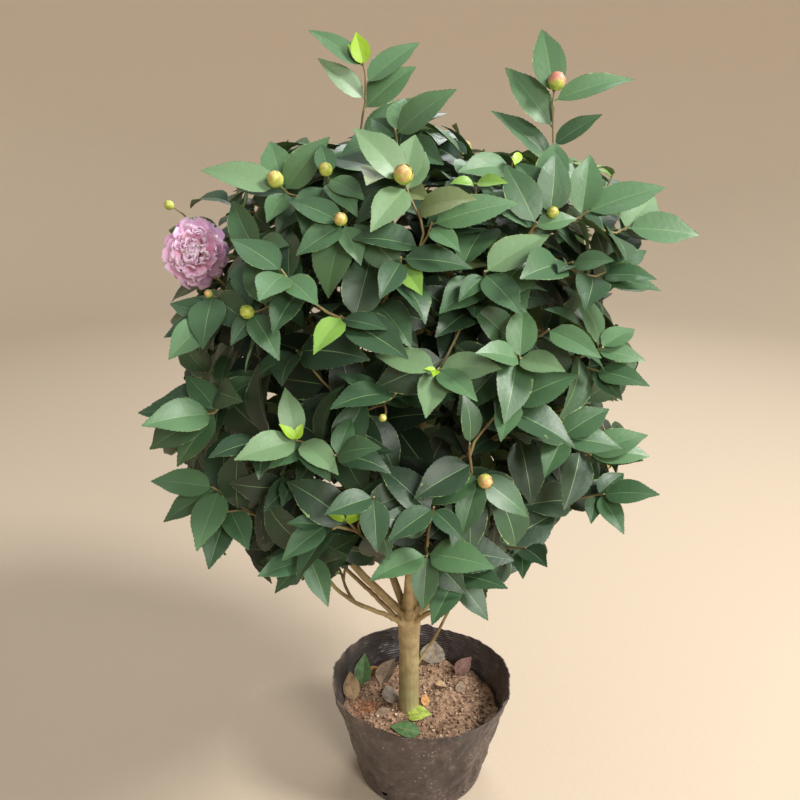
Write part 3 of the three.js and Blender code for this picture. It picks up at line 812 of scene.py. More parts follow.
def twig_fits(line, mass):
    """Whether a twig stays in its mass's space and clear of every bough."""
    for i in range(1, 11):
        point = line.at(0.1 + 0.09 * i)
        if room(point, mass) < TWIG_MARGIN or bough_beads.find(point)[2] < BOUGH_GAP:
            return False
    return True


def effort(fork, point):
    """What a twig from a fork to a point costs: its length, its turn and how far out the fork is."""
    way = point - fork["point"]
    span = way.length
    turn = 1 - way.dot(fork["heading"]) / span
    return span * (1 + TURN_COST * turn) + RUN_COST * fork["run"]


# %% Twigs


def note_forks(mass, twig, shares):
    for share in shares:
        fork = {"point": twig["line"].at(share), "heading": twig["line"].heading(share), "twig": twig}
        fork["run"] = twig["run"] + twig["line"].length * share
        mass["forks"].append(fork)


def grow_twigs(mass):
    start = mass["path"].at(mass["share"])
    heading = mass["path"].heading(mass["share"])
    end = drawn_in(mass["heart"], mass, BORDER)
    middle = start + heading * 0.5 * (end - start).length
    stem = {"line": bezier(start, middle, end), "run": 0, "parent": None, "carries": 0}
    mass["twigs"] = [stem]
    mass["forks"] = []
    note_forks(mass, stem, STEM_FORKS)
    for tip in sorted(mass["tips"], key=lambda t: (t["point"] - start).length):
        point = tip["point"]
        tip["outward"] = Vector((point.x - crown_middle(point.z), point.y, 0)).normalized()
        heading = tip["normal"].copy()
        if tip["kind"] in ("leafy", "young", "rosette"):
            heading += UP * (0.35 + 0.5 * step_up(point.z, 700, 1000)) + sway(point.x) * 0.5
        elif tip["kind"] == "long":
            heading += tip["outward"] * 0.3
        tip["heading"] = heading.normalized()
        for fork in sorted(mass["forks"], key=lambda f: effort(f, point))[:FORKS_TRIED]:
            span = (fork["point"] - point).length
            first = fork["point"] + fork["heading"] * 0.3 * span
            second = point - tip["heading"] * 0.35 * span
            line = bezier(fork["point"], first, second, point)
            if twig_fits(line, mass):
                twig = {"line": line, "run": fork["run"], "parent": fork["twig"], "carries": 1}
                tip["twig"] = twig
                mass["twigs"].append(twig)
                note_forks(mass, twig, TWIG_FORKS)
                while twig["parent"]:
                    twig = twig["parent"]
                    twig["carries"] += 1
                break


for mass in masses:
    grow_twigs(mass)
shoots = [tip for tip in all_tips() if "twig" in tip]
print("twigs that reached their tip:", len(shoots), "of", len(all_tips()))

# %% [markdown]
# ## Bark
# A camellia's bark is thin, smooth and tan, with faint ridges along the limb and a swollen knuckle where
# it was pruned to fork. Tubes that only overlap would show hard creases at every fork, so the trunk and
# boughs are drawn as one curve object, remeshed into a single skin, and then given their relief by
# moving each point of that skin along its normal.
# %% Strands of wood


def finished_mesh(holder):
    """The mesh of an object with its modifiers done. The object itself is removed."""
    mesh = bpy.data.meshes.new_from_object(holder.evaluated_get(bpy.context.evaluated_depsgraph_get()))
    bpy.data.objects.remove(holder)
    return mesh


def strands_mesh(name, strands, sides):
    """A mesh of round strands, each a list of (point, radius) in millimetres."""
    curve = bpy.data.curves.new(name, "CURVE")
    curve.dimensions = "3D"
    curve.bevel_depth = 1.0
    curve.bevel_resolution = sides // 2 - 2
    curve.use_fill_caps = True
    for strand in strands:
        spline = curve.splines.new("POLY")
        spline.points.add(len(strand) - 1)
        for dot, (point, radius) in zip(spline.points, strand):
            dot.co = (*(point * MM), 1)
            dot.radius = radius * MM
    mesh = finished_mesh(linked(name, curve))
    mesh.name = name
    return mesh


def strand(line, root, tip, steps, swell, key):
    """Points and radii along a line that tapers from root to tip, with a slight wander."""
    made = []
    for i in range(steps + 1):
        share = i / steps
        flare = 1 + swell * exp(-share * line.length / 14)
        wander = sway(key + 3.7 * i) * (1.6 * sin(pi * share))
        made.append((line.at(share) + wander, mix(root, tip, share) * flare))
    return made


def trunk_radius(share):
    flare = (TRUNK_FOOT_RADIUS - TRUNK_RADIUS) * exp(-share * 9)
    knuckle = (TRUNK_KNUCKLE_RADIUS - TRUNK_RADIUS) * step_up(share, 0.62, 0.9)
    return TRUNK_RADIUS + flare + knuckle


# %% The trunk and the boughs
TRUNK_BURIED = 4
WOOD_SIDES = 14
# The short stub of a pruned shoot on the front of the fork, and its radii.
STUB = ((-14, -8, 292), (-8, -13, 306), (-5, -15, 313))
STUB_RADII = (8.5, 6.4, 5.6)

trunk_line = bezier(
    Vector((TRUNK_X, 0, SOIL_LEVEL - TRUNK_BURIED)),
    Vector((TRUNK_X + 1.2, -1, (SOIL_LEVEL + TRUNK_TOP) / 2)),
    trunk_point(0),
)
wood = [[(trunk_line.at(i / 24), trunk_radius(i / 24)) for i in range(25)]]
wood.append([(Vector(place), radius) for place, radius in zip(STUB, STUB_RADII)])
for number, mass in enumerate(masses):
    root, tip = mass["radii"]
    swell = 0.35 if mass["tier"] in ("skirt", "waist") else 0.2
    wood.append(strand(mass["bough"], root, tip, 22, swell, number))
bark_mesh = strands_mesh("bark", wood, WOOD_SIDES)
print("strands in the bark:", len(wood))

# %% One skin, then its relief
BARK_VOXEL = 0.0017
BARK_SOFTENING = 5
# The relief fades on the thin boughs above the fork, down to a quarter.
RELIEF_TOP = 0.33
RELIEF_FADE = 12


def remeshed(mesh, voxel, rounds):
    """A mesh's copy as one skin of small square faces, smoothed a little."""
    holder = linked("skin", mesh)
    skin = holder.modifiers.new("skin", "REMESH")
    skin.mode = "VOXEL"
    skin.voxel_size = voxel
    soften = holder.modifiers.new("soften", "SMOOTH")
    soften.factor = 0.5
    soften.iterations = rounds
    return finished_mesh(holder)


def numbers_of(items, name):
    """Three numbers of each item of a mesh, as an array."""
    found = np.empty(len(items) * 3, np.float32)
    items.foreach_get(name, found)
    return found.reshape(-1, 3)


def bark_lift(point):
    """How far the bark stands proud at a point: long faint ridges, lumps and small pores."""
    long_grain = noise.noise(Vector((point[0] * 260, point[1] * 260, point[2] * 38)))
    lumps = noise.noise(Vector(point) * 75)
    pores = max(0, noise.noise(Vector((point[0] * 330, point[1] * 330, point[2] * 210))) - 0.35)
    return 0.00035 * long_grain + 0.0006 * lumps + 0.0012 * pores


bark_mesh = remeshed(bark_mesh, BARK_VOXEL, BARK_SOFTENING)
places, normals = numbers_of(bark_mesh.vertices, "co"), numbers_of(bark_mesh.vertex_normals, "vector")
lifts = np.array([bark_lift(place) for place in places])
share = np.clip((RELIEF_TOP - places[:, 2]) * RELIEF_FADE, 0.25, 1)
places = np.ascontiguousarray(places + normals * (lifts * share)[:, None], np.float32)
bark_mesh.vertices.foreach_set("co", places.ravel())
bark_mesh.update()
print("bark faces:", len(bark_mesh.polygons))

# %% Bark finish
# A dark spot on the front of the fork.
FORK_DARK_SPOT = Vector((-22, -40, 336))
bark = Finish("camellia_bark", (160, 139, 101), 0.72)
mottle = bark.grain(0.013, 4)
streaks = bark.grain(0.0022, 4, (1, 1, 0.16))
bark_spot = bark.node("ShaderNodeTexCoord", {}, output="Object")
height = bark.node("ShaderNodeSeparateXYZ", {0: bark_spot}, output="Z")
green_foot = 1 - height.between(0.125, 0.26)
skin_tone = bark.blend(mottle.between(0.3, 0.7), (156, 137, 98), (184, 163, 121))
skin_tone = bark.blend(streaks.between(0.5, 0.8) * 0.3, skin_tone, (134, 112, 80))
skin_tone = bark.blend(green_foot * mottle.between(0.25, 0.65) * 0.55, skin_tone, (148, 152, 100))
from_dark_spot = bark.node("ShaderNodeVectorMath", {0: bark.place(), 1: FORK_DARK_SPOT * MM}, output=1, operation="DISTANCE")
dark_spot = (1 - from_dark_spot.between(0.006, 0.014)) * (0.6 + 0.7 * mottle)
skin_tone = bark.blend(dark_spot * 0.8, skin_tone, (72, 60, 50))
bark.set(Base_Color=skin_tone, Roughness=0.62 + 0.22 * mottle)
bark.relief(streaks * 0.7 + bark.grain(0.0011, 3) * 0.3, 0.0007, 0.9)

bark_piece = shown("bark", bark_mesh, [bark.material])
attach(bark_piece, "root")
WOODY = ["trunk", *(n for n in frame["nodes"] if "bough" in n), "sucker"]
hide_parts(*WOODY)

# %% [markdown]
# Twigs thicken by what they carry: the more shoots hang on one, the stouter it is. They are plain round
# strands with six sides, because there are hundreds, and they start inside the wood that bears them.
# %% Twigs as strands
TWIG_TIP = 1.15
TWIG_GAIN = 0.62
TWIG_POWER = 0.62
TWIG_FOOT = 0.35
TWIG_SIDES = 6
TWIG_STEP = 16
# A stem starts a little thinner than the tip of its bough and keeps this share of it to its own tip.
STEM_START = 0.97
STEM_TAPER = 0.55


def twig_girth(twig):
    """A twig's radius where it starts, from the number of shoots that it carries."""
    return TWIG_TIP + TWIG_GAIN * (twig["carries"] ** TWIG_POWER - 1)


fine_wood = []
for number, mass in enumerate(masses):
    for place, twig in enumerate(mass["twigs"]):
        steps = max(5, round(twig["line"].length / TWIG_STEP))
        if twig["parent"]:
            root = min(twig_girth(twig) + TWIG_FOOT, twig_girth(twig["parent"]))
            tip = TWIG_TIP
        else:
            root = mass["radii"][1] * STEM_START
            tip = max(TWIG_TIP, root * STEM_TAPER)
        twig["strand"] = strand(twig["line"], root, tip, steps, 0.15, number * 31 + place)
        fine_wood.append(twig["strand"])

twig_bark = Finish("young_bark", (124, 108, 70), 0.6)
twig_mottle = twig_bark.grain(0.02, 3)
twig_bark.set(Base_Color=twig_bark.blend(twig_mottle.between(0.4, 0.62), (128, 108, 74), (148, 136, 88)))
twig_bark.relief(twig_bark.grain(0.0013, 3, (1, 1, 0.3)), 0.0004)
all_twigs = strands_mesh("all_twigs", fine_wood, TWIG_SIDES)
wood_tree = BVHTree.FromPolygons(
    [vertex.co / MM for vertex in all_twigs.vertices],
    [face.vertices[:] for face in all_twigs.polygons],
)
print("twig strands:", len(fine_wood), "faces", len(all_twigs.polygons))

# %% [markdown]
# ## Leaves
# A camellia leaf is an oval about 80 mm long with a toothed edge, a drawn-out tip that curls down, a pale
# midrib and two halves that fold up like a shallow boat. There are nearly two thousand, so each is a
# closed shell of fifty faces: seven rows of five across the top, of which the middle strip is the
# midrib, two rows below, and one that closes the foot. The teeth are only more corners of the faces
# along the edge. All leaves of a tier are worked out together as arrays and joined in one mesh.
# %% The shape of a leaf
LEAF_LENGTH = 78
LEAF_WIDTH = 41
LEVELS = np.array([0, 0.06, 0.16, 0.3, 0.46, 0.64, 0.83, 1])
HALF_WIDTHS = np.array([0.036, 0.07, 0.66, 0.95, 1.0, 0.82, 0.37, 0])
COLUMNS = np.array([-1, -0.55, -0.022, 0.022, 0.55, 1])
KEEL = 6
ROW = 7
ROWS = 7
TIP = ROWS * ROW
LEAF_POINTS = TIP + 1
ACROSS = np.append(COLUMNS, 0)
LIFT = 0.16
CUP_FALL = 0.07
RIPPLE = 0.045
RIB_SINK = 1.1
FRAME_NAMES = ("root", "along", "face", "side")
SHAPE_NAMES = ("length", "width", "bend", "fold", "twist", "phase")
# Teeth on the margin of each row: how far along the row each point stands, and how far out, in mm.
TEETH = ((0.27, 1.15), (0.34, 0.35), (0.6, 1.2), (0.67, 0.3), (0.94, 0.85))
TOOTH_ROWS = ROWS - 1


def tooth_points(side, row):
    """The numbers of the margin points of one row, from its foot to its tip side."""
    first = LEAF_POINTS + (side * TOOTH_ROWS + row - 1) * len(TEETH)
    return tuple(range(first, first + len(TEETH)))


def leaf_faces(toothed=True):
    """Each face as its corners and what it is: 0 blade, 1 midrib, 2 underside."""
    faces = [((0, 1, 2, 3, 4, 5, KEEL), 2)]
    for row in range(ROWS):
        here, ahead = row * ROW, (row + 1) * ROW
        last = row == ROWS - 1
        left_teeth = tooth_points(0, row) if toothed and row else ()
        right_teeth = tooth_points(1, row) if toothed and row else ()
        for column in range(5):
            left, right = here + column, here + column + 1
            kind = 1 if column == 2 else 0
            corners = (right, left)
            corners += left_teeth if column == 0 else ()
            corners += (TIP,) if last else (left + ROW, right + ROW)
            corners += right_teeth[::-1] if column == 4 else ()
            faces.append((corners, kind))
        keel = here + KEEL
        ends = (TIP,) if last else (keel + ROW, here + ROW)
        faces.append(((here, keel, *ends, *left_teeth[::-1]), 2))
        ends = (TIP,) if last else (here + 5 + ROW, keel + ROW)
        faces.append(((keel, here + 5, *right_teeth, *ends), 2))
    return faces


LEAF_FACES = leaf_faces()
print("faces of a leaf:", len(LEAF_FACES))

# %% Where the corners of a leaf lie


def leaf_frame(root, along, light):
    """The axes of a leaf from its foot: along it, out of its face, and to its side."""
    face = (light - along * light.dot(along)).normalized()
    return {"root": root, "along": along, "face": face, "side": face.cross(along)}


def leaf_places(leaves):
    """Every corner of every leaf, as an array of (leaf, corner, xyz) in millimetres."""
    root, along, face, side = (np.array([leaf[n] for leaf in leaves])[:, None, None] for n in FRAME_NAMES)
    shape = np.array([[leaf[name] for name in SHAPE_NAMES] for leaf in leaves])
    length, width, bent, fold, twist, phase = (shape[:, k : k + 1] for k in range(len(SHAPE_NAMES)))
    slope = LIFT - bent * ((LEVELS[1:] + LEVELS[:-1]) / 2) ** 1.5
    stride = np.diff(LEVELS) * length
    forward = np.zeros((len(leaves), ROWS + 1, 1))
    rise = np.zeros_like(forward)
    forward[:, 1:, 0] = np.cumsum(stride * np.cos(slope), 1)
    rise[:, 1:, 0] = np.cumsum(stride * np.sin(slope), 1)
    tilt = (LIFT - bent * LEVELS**1.5)[:, :, None]
    turn = (twist * LEVELS)[:, :, None]
    half = (HALF_WIDTHS * width / 2)[:, :, None]
    cup = np.abs(ACROSS) * np.sin(fold)[:, :, None] - CUP_FALL * ACROSS**4
    ripple = ACROSS**2 * np.sin(phase[:, :, None] + 9 * LEVELS[:, None] + 2 * (ACROSS > 0))
    lift = half * (cup + RIPPLE * ripple)
    lift[:, :, KEEL] = -np.minimum(RIB_SINK, half[:, :, 0] + 0.4)
    across = half * ACROSS * np.cos(0.8 * fold)[:, :, None]
    sideways = across * np.cos(turn) - lift * np.sin(turn)
    upward = across * np.sin(turn) + lift * np.cos(turn)
    ahead = forward - upward * np.sin(tilt)
    above = rise + upward * np.cos(tilt)
    places = root + along * ahead[..., None] + face * above[..., None] + side * sideways[..., None]
    return places.reshape(len(leaves), -1, 3)[:, :LEAF_POINTS]


def with_teeth(places, lengths):
    """The corners of each leaf followed by the points of the teeth on its margins."""
    rows = np.concatenate([places, np.repeat(places[:, TIP:], ROW - 1, 1)], 1)
    rows = rows.reshape(len(places), ROWS + 1, ROW, 3)
    shares = np.array([share for share, _ in TEETH])[:, None]
    sizes = (lengths / LEAF_LENGTH)[:, None, None, None]
    heights = np.array([height for _, height in TEETH])[:, None] * sizes
    made = [places]
    for margin, inner in ((0, 1), (5, 4)):
        foot, end = rows[:, 1:-1, margin], rows[:, 2:, margin]
        out = foot + end - rows[:, 1:-1, inner] - rows[:, 2:, inner]
        out /= np.linalg.norm(out, axis=-1, keepdims=True)
        teeth = foot[:, :, None] + (end - foot)[:, :, None] * shares + out[:, :, None] * heights
        made.append(teeth.reshape(len(places), -1, 3))
    return np.concatenate(made, 1)


# %% Many leaves as one mesh
SHARP_MARGIN = radians(75)


def joined_leaves(name, leaves, rib, under, tints):
    """One mesh of many leaves, each in its own tint, with pale midribs and undersides."""
    places = with_teeth(leaf_places(leaves), np.array([leaf["length"] for leaf in leaves]))
    sizes = np.array([len(corners) for corners, _ in LEAF_FACES])
    corners = np.concatenate([corners for corners, _ in LEAF_FACES])
    kinds = np.array([kind for _, kind in LEAF_FACES])
    count = len(leaves)
    mesh = bpy.data.meshes.new(name)
    mesh.vertices.add(count * places.shape[1])
    mesh.loops.add(count * len(corners))
    mesh.polygons.add(count * len(sizes))
    all_corners = (np.arange(count)[:, None] * places.shape[1] + corners).ravel()
    starts = np.concatenate([[0], np.cumsum(np.tile(sizes, count))[:-1]])
    tint = np.array([leaf["tint"] for leaf in leaves])[:, None]
    slots = np.where(kinds == 0, 2 + tint, np.where(kinds == 1, 0, 1))
    mesh.vertices.foreach_set("co", (places * MM).astype(np.float32).ravel())
    mesh.loops.foreach_set("vertex_index", all_corners.astype(np.int32))
    mesh.polygons.foreach_set("loop_start", starts.astype(np.int32))
    for material in (rib, under, *tints):
        mesh.materials.append(material)
    mesh.polygons.foreach_set("material_index", slots.ravel().astype(np.int32))
    mesh.update(calc_edges=True)
    mesh.validate()
    mesh.set_sharp_from_angle(angle=SHARP_MARGIN)
    return mesh


# %% [markdown]
# Leaves stand round a shoot by the golden angle, close together at the tip and further apart behind it.
# Each one turns its face to the light, and hangs a little. A leaf that would cross a neighbour, cut
# through a twig or leave the crown tries other turns, then folds closer to its shoot or stays
# smaller, and grows nowhere if all of that fails, as in the solids.
# %% How a shoot sets its leaves
# How far behind the tip of each kind of shoot its leaves stand, in millimetres.
LEAF_NODES = {
    "leafy": (2, 6, 12, 22, 38, 58, 80),
    "budded": (3, 7, 12, 20, 36, 56),
    "rosette": (2, 5, 9, 16, 30, 48, 70),
    "young": (1, 3, 9, 18, 34, 56, 80),
    "bloom": (12, 22, 36, 56, 80),
    "long": (118, 142, 166, 190),
}
# Leaves of the two sprigs: distance from the tip, the photograph's spot of the leaf's point, how far
# that point lies behind its foot, the width as a share of the length, and the tint.
SPRIG_LEAVES = (
    (
        (5, 309, 30, 10, 0.4, 4),
        (4, 356, 32, -8, 0.62, 7),
        (3, 348, 44, 4, 0.42, 7),
        (24, 419, 45, 18, 0.46, 4),
        (42, 318, 60, -14, 0.4, 5),
        (54, 415, 65, -4, 0.55, 4),
        (84, 430, 96, 30, 0.42, 3),
    ),
    (
        (16, 542, 28, 12, 0.5, 4),
        (24, 636, 75, -6, 0.44, 4),
        (54, 506, 67, 8, 0.5, 4),
        (74, 602, 116, -18, 0.44, 3),
        (94, 492, 111, -10, 0.46, 3),
    ),
)
# The darker tints also serve as painted shade deep in the crown and the paler ones as painted light near its
# top, besides each leaf's own variety of colour.
TINTS = {
    "dark": (32, 50, 34),
    "deep": (42, 66, 44),
    "shade": (53, 82, 54),
    "middle": (66, 99, 65),
    "fresh": (84, 119, 80),
    "pale": (110, 140, 100),
    "young": (116, 156, 64),
    "bright": (150, 190, 44),
    "olive": (120, 134, 86),
}
# Tints by their number in the order above. Plain leaves have those up to pale.
PALE, YOUNG, BRIGHT, OLIVE = 5, 6, 7, 8
# What a leaf that doesn't fit tries: other turns, then closer to its shoot or wider, and smaller.
TURNS = (0, 0.4, -0.4, 0.8, -0.8, 1.2, -1.2, 1.7, -1.7, 2.3, -2.3, 3.1)
CLOSINGS = ((0, 1), (-0.35, 0.97), (0.25, 0.86), (-0.2, 0.72))
CHOICES = [(turn, close, size) for close, size in CLOSINGS for turn in TURNS]
OVERHANG = 14
FRONT_LIMIT = -382
# The faces that a leaf is tested with: those of its underside, past its stalk.
COARSE = [corners for corners, kind in leaf_faces(toothed=False)[8:] if kind == 2]


def plain(tint):
    return min(PALE, max(0, tint))


def bright_pair(tip, index):
    """Whether a leaf is one of the two fresh ones at a young shoot's tip."""
    return tip["kind"] == "young" and index < 2


# %% A leaf by the rule
# Degrees from the shoot's axis: of the first leaf, more for each one behind it, and the whim in it.
OPENING = (63, 4, 20)
DROOP = 0.1
LEAST_GROWN = 0.76
GROWN_SPREAD = 0.44


def leaf_at(tip, index, turned, closed, size):
    """A leaf by the plant's rule: round its shoot by the golden angle, with its face to the light."""
    point = tip["point"]
    line = tip["twig"]["line"]
    node = LEAF_NODES[tip["kind"]][index]
    share = 1 - node / line.length
    axis = tip["heading"].lerp(line.heading(share), min(1, node / 90)).normalized()
    first = axis.cross(UP).normalized()
    second = axis.cross(first)
    turn = index * GOLDEN_ANGLE + 2 * pi * chance(point.x + point.y) + turned
    base, more, whim = OPENING
    open_angle = radians(base + more * min(index, 5) + whim * (chance(point.z + index) - 0.5)) + closed
    radial = first * cos(turn) + second * sin(turn)
    along = (axis * cos(open_angle) + radial * sin(open_angle) - UP * DROOP).normalized()
    light = UP * 0.5 + tip["outward"] * 0.3 + axis * 0.5 + sway(point.y + index) * 0.85
    grown = size * (LEAST_GROWN + GROWN_SPREAD * chance(point.x * 1.7 + index * 2.3))
    if bright_pair(tip, index):
        grown = tip["young"] * (1 - 0.2 * index)
    key = point.x + 3.1 * point.y + 7.7 * index
    return {
        **leaf_frame(line.at(share), along, light),
        "length": LEAF_LENGTH * grown,
        "width": LEAF_WIDTH * grown * (0.92 + 0.2 * chance(key)),
        "bend": 0.35 + 0.75 * chance(key + 0.2),
        "fold": 0.14 + 0.3 * chance(key + 0.4),
        "twist": 0.7 * (chance(key + 0.6) - 0.5),
        "phase": 2 * pi * chance(key + 0.8),
    }


# %% Leaves that the photograph places


def sprig_leaf(tip, node, x, y, behind, broad, tint):
    """A leaf from its place on the stem to the point where the photograph shows its end."""
    line = tip["twig"]["line"]
    root = line.at(1 - node / line.length)
    far = spot_in_photo(root)[2] + behind
    way = line_of_sight(x, y)
    end = CAMERA_PLACE + way * (far / spot_in_photo(CAMERA_PLACE + way)[2])
    span = end - root
    light = UP * (0.5 + 0.35 * chance(x - y)) - way * (0.8 - 0.2 * chance(y - 2 * x))
    return {
        **leaf_frame(root, span.normalized(), light),
        "length": span.length * 1.02,
        "width": min(span.length, LEAF_LENGTH) * broad,
        "bend": 0.3 + 0.3 * chance(x),
        "fold": 0.2 + 0.15 * chance(y),
        "twist": 0.4 * (chance(x + y) - 0.5),
        "phase": x,
        "tint": tint,
        "tier": tip["tier"],
    }


# A spray's leaf ends nearer or further than its foot, by no more than the reach. Where it doesn't fit, it
# tries to end a little nearer to the camera or further from it.
SPRAY_REACH = 34
SPRAY_SHIFTS = (0, -8, 8, -16, 16, -26, 26, 38)


def spray_node(number):
    """How far behind the spray's tip a placed leaf stands."""
    return 3 + 3.5 * number


def spray_leaf(tip, number, end, shift):
    """A leaf of a spray, as long as its neighbours, that ends where the photograph shows its tip."""
    x, y, *own_tint = end
    line = tip["twig"]["line"]
    across, down, far = spot_in_photo(line.at(1 - spray_node(number) / line.length))
    flat = hypot(x - across, y - down) * far / PHOTO_SIZE
    length = LEAF_LENGTH * (0.84 + 0.2 * chance(x + 2 * y))
    behind = min(SPRAY_REACH, sqrt(max(0, length * length - flat * flat)))
    behind *= -1 if y > down - 12 else 0.6
    broad = 0.47 + 0.08 * chance(x * y)
    tint = plain(tip["spray"][0] + round(1.6 * (chance(x * 1.3 + y) - 0.5)))
    return sprig_leaf(tip, spray_node(number), x, y, behind + shift, broad, *(own_tint or [tint]))


# %% What no leaf may hide
# Each view is its middle in the photograph, half its width and height, and how far what it shows is.
# The fork comes first, because the leaves of placed sprays may pass before it.
BLOOM_VIEW = (193, 250, 33, 33)
DARK_HOLLOWS = (
    *((385, 420, 12), (486, 450, 13), (318, 382, 12), (352, 478, 9)),
    *((452, 440, 10), (560, 290, 10), (300, 330, 9)),
)
HOLLOW_DEPTH = 75
BUD_CLEAR = 5
kept_views = [(*BOUGH_WINDOW, inf), (*BLOOM_VIEW, spot_in_photo(BLOOM_CENTRE)[2] + 20)]
for tip in shoots:
    if "bud" in tip:
        x, y, far = spot_in_photo(tip["point"])
        kept_views.append((x, y, tip["bud"] / 2 + BUD_CLEAR, tip["bud"] / 2 + BUD_CLEAR, far - 7))
for x, y, size in DARK_HOLLOWS:
    kept_views.append((x, y, size, size, spot_in_photo(on_crown(x, y, HOLLOW_DEPTH))[2]))
print("views kept free:", len(kept_views))

SPRAY_OVERHANG = 30


def hides(places, kind):
    """Whether a leaf would stand outside the crown's outline or before something kept in view."""
    if outside_crown(places, -SPRAY_OVERHANG if kind == "spray" else 0):
        return True
    across, down, far = seen_in_photo(places)
    for x, y, wide, high, limit in kept_views[1:] if kind == "spray" else kept_views:
        if np.any((np.abs(across - x) < wide) & (np.abs(down - y) < high) & (far < limit)):
            return True
    return False


# %% Whether a leaf fits
# Grown leaves are noted by the cube of space that they are in, so that only near ones are compared.
LEAF_GRID = 130
grown_leaves = []
by_cell = {}


def cell_of(point):
    return tuple(floor(c / LEAF_GRID) for c in point)


def cells_near(point):
    x, y, z = cell_of(point)
    return [(x + i, y + j, z + k) for i in (-1, 0, 1) for j in (-1, 0, 1) for k in (-1, 0, 1)]


def coarse_leaf(places):
    """A leaf's plain shape, to find what it crosses, and its middle."""
    tree = BVHTree.FromPolygons([Vector(place) for place in places], COARSE)
    return tree, Vector((places[0] + places[TIP]) / 2)


def note_leaf(tree, middle):
    by_cell.setdefault(cell_of(middle), []).append((tree, middle))


def leaf_fits(leaf, kind):
    """Whether a leaf crosses nothing, hides nothing and stays in the crown. One that fits is noted."""
    places = leaf_places([leaf])[0]
    if hides(places, kind) or places[:, 1].min() < FRONT_LIMIT:
        return False
    if kind not in ("long", "bloom", "spray"):
        if depth_in_crown(Vector(places[TIP])) < -OVERHANG * (2 if kind == "rosette" else 1):
            return False
    tree, middle = coarse_leaf(places)
    if tree.overlap(wood_tree):
        return False
    for cell in cells_near(middle):
        for other, centre in by_cell.get(cell, ()):
            if (centre - middle).length < LEAF_LENGTH and tree.overlap(other):
                return False
    note_leaf(tree, middle)
    return True


# %% Growing them all
OLIVE_SHARE = 0.08


def spray_tint_with_painted_shade(tip):
    """The tint of a whole spray, with painted shade and light: darker deeper inside the crown, paler towards
    its top.
    """
    depth = depth_in_crown(tip["point"])
    # Painted shade and light: the tint falls with depth inside the crown and rises towards its top.
    pick = 2.3 + 1.8 * (chance(tip["point"].z * 0.37 + tip["point"].x) - 0.5) - depth / 45
    pick += 1.6 * step_up(tip["point"].z, 640, 1000)
    return plain(pick)


def grow_seen_leaves(tip):
    """The leaves that the photograph places, of the two sprigs and of the clear sprays."""
    for each in SPRIG_LEAVES[tip["sprig"]] if "sprig" in tip else ():
        leaf = sprig_leaf(tip, *each)
        note_leaf(*coarse_leaf(leaf_places([leaf])[0]))
        grown_leaves.append(leaf)
    for number, end in enumerate(tip["spray"][1] if "spray" in tip else ()):
        for shift in SPRAY_SHIFTS:
            leaf = spray_leaf(tip, number, end, shift)
            if leaf_fits(leaf, "spray"):
                grown_leaves.append(leaf)
                tip["twig"]["kept"] = True
                break


def grow_leaves(tip):
    """The leaves that the rule places on a shoot, as far back as its twig is long."""
    base = spray_tint_with_painted_shade(tip)
    for index, node in enumerate(LEAF_NODES[tip["kind"]]):
        if node > tip["twig"]["line"].length * 0.9:
            break
        taken = "spray" in tip and node < spray_node(len(tip["spray"][1]))
        if taken and not bright_pair(tip, index):
            continue
        for choice in CHOICES:
            leaf = leaf_at(tip, index, *choice)
            if leaf_fits(leaf, tip["kind"]):
                shade = base - 0.22 * index + 1.1 * (chance(tip["point"].y + 5 * index) - 0.5)
                leaf["tint"] = round(plain(shade))
                if shade > 2 and chance(3.3 * tip["point"].x + index) < OLIVE_SHARE:
                    leaf["tint"] = OLIVE
                if bright_pair(tip, index):
                    leaf["tint"] = BRIGHT if tip["young"] < 0.4 else YOUNG
                leaf["tier"] = tip["tier"]
                grown_leaves.append(leaf)
                tip["twig"]["kept"] = True
                break


def tier_of(mass):
    """The tier whose mesh a mass's leaves are joined in: the sucker's is the skirt."""
    return "skirt" if mass["tier"] == "sucker" else mass["tier"]


for mass in masses:
    for tip in mass["tips"]:
        tip["tier"] = tier_of(mass)
# The tips that the photograph places set their leaves first, so that nothing takes their room.
RANKS = {"bloom": 0, "long": 1, "budded": 2, "young": 3, "rosette": 4, "leafy": 5}
in_order = sorted(shoots, key=lambda t: (RANKS[t["kind"]], -t["point"].z))
for tip in in_order:
    grow_seen_leaves(tip)
print("leaves that the photograph places:", len(grown_leaves))
for tip in in_order:
    grow_leaves(tip)
print("leaves:", len(grown_leaves))

# %% [markdown]
# A twig on which no leaf found room would stand bare. A healthy shrub sheds such twigs, so they aren't
# drawn. Later twigs follow the ones they fork from, so going through them backwards meets each child
# before its parent.
# %% Twigs that carry something
kept_wood = []
for mass in masses:
    for tip in mass["tips"]:
        if "twig" in tip and tip["kind"] in ("budded", "bloom", "long"):
            tip["twig"]["kept"] = True
    for twig in reversed(mass["twigs"]):
        if twig["parent"] is None or twig.get("kept"):
            kept_wood.append(twig["strand"])
            if twig["parent"]:
                twig["parent"]["kept"] = True
twigs_piece = shown("twigs", strands_mesh("twigs", kept_wood, TWIG_SIDES), [twig_bark.material])
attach(twigs_piece, "root")
print("twigs drawn:", len(kept_wood), "faces", len(twigs_piece.data.polygons))

# %% [markdown]
# A leaf's upper side is glossy under a waxy skin and shows the sky as a pale bluish sheen, so it has a
# thin coat over a half-rough base. The underside is paler and dull. Tints are plain base colours that
# are dealt out spray by spray, darker deep in the crown as painted shade and paler near its top as
# painted light, and only the relief and the gloss vary over a leaf.
# %% Leaf finishes


def leaf_finish(name, color, roughness, coat):
    made = Finish(name, color, roughness, Coat_Weight=coat, Coat_Roughness=0.32, Specular_IOR_Level=0.5)
    puckers = made.grain(0.006, 2)
    made.set(Roughness=roughness - 0.06 + 0.12 * made.grain(0.017, 2))
    return made.relief(puckers, 0.0009, 0.5).material


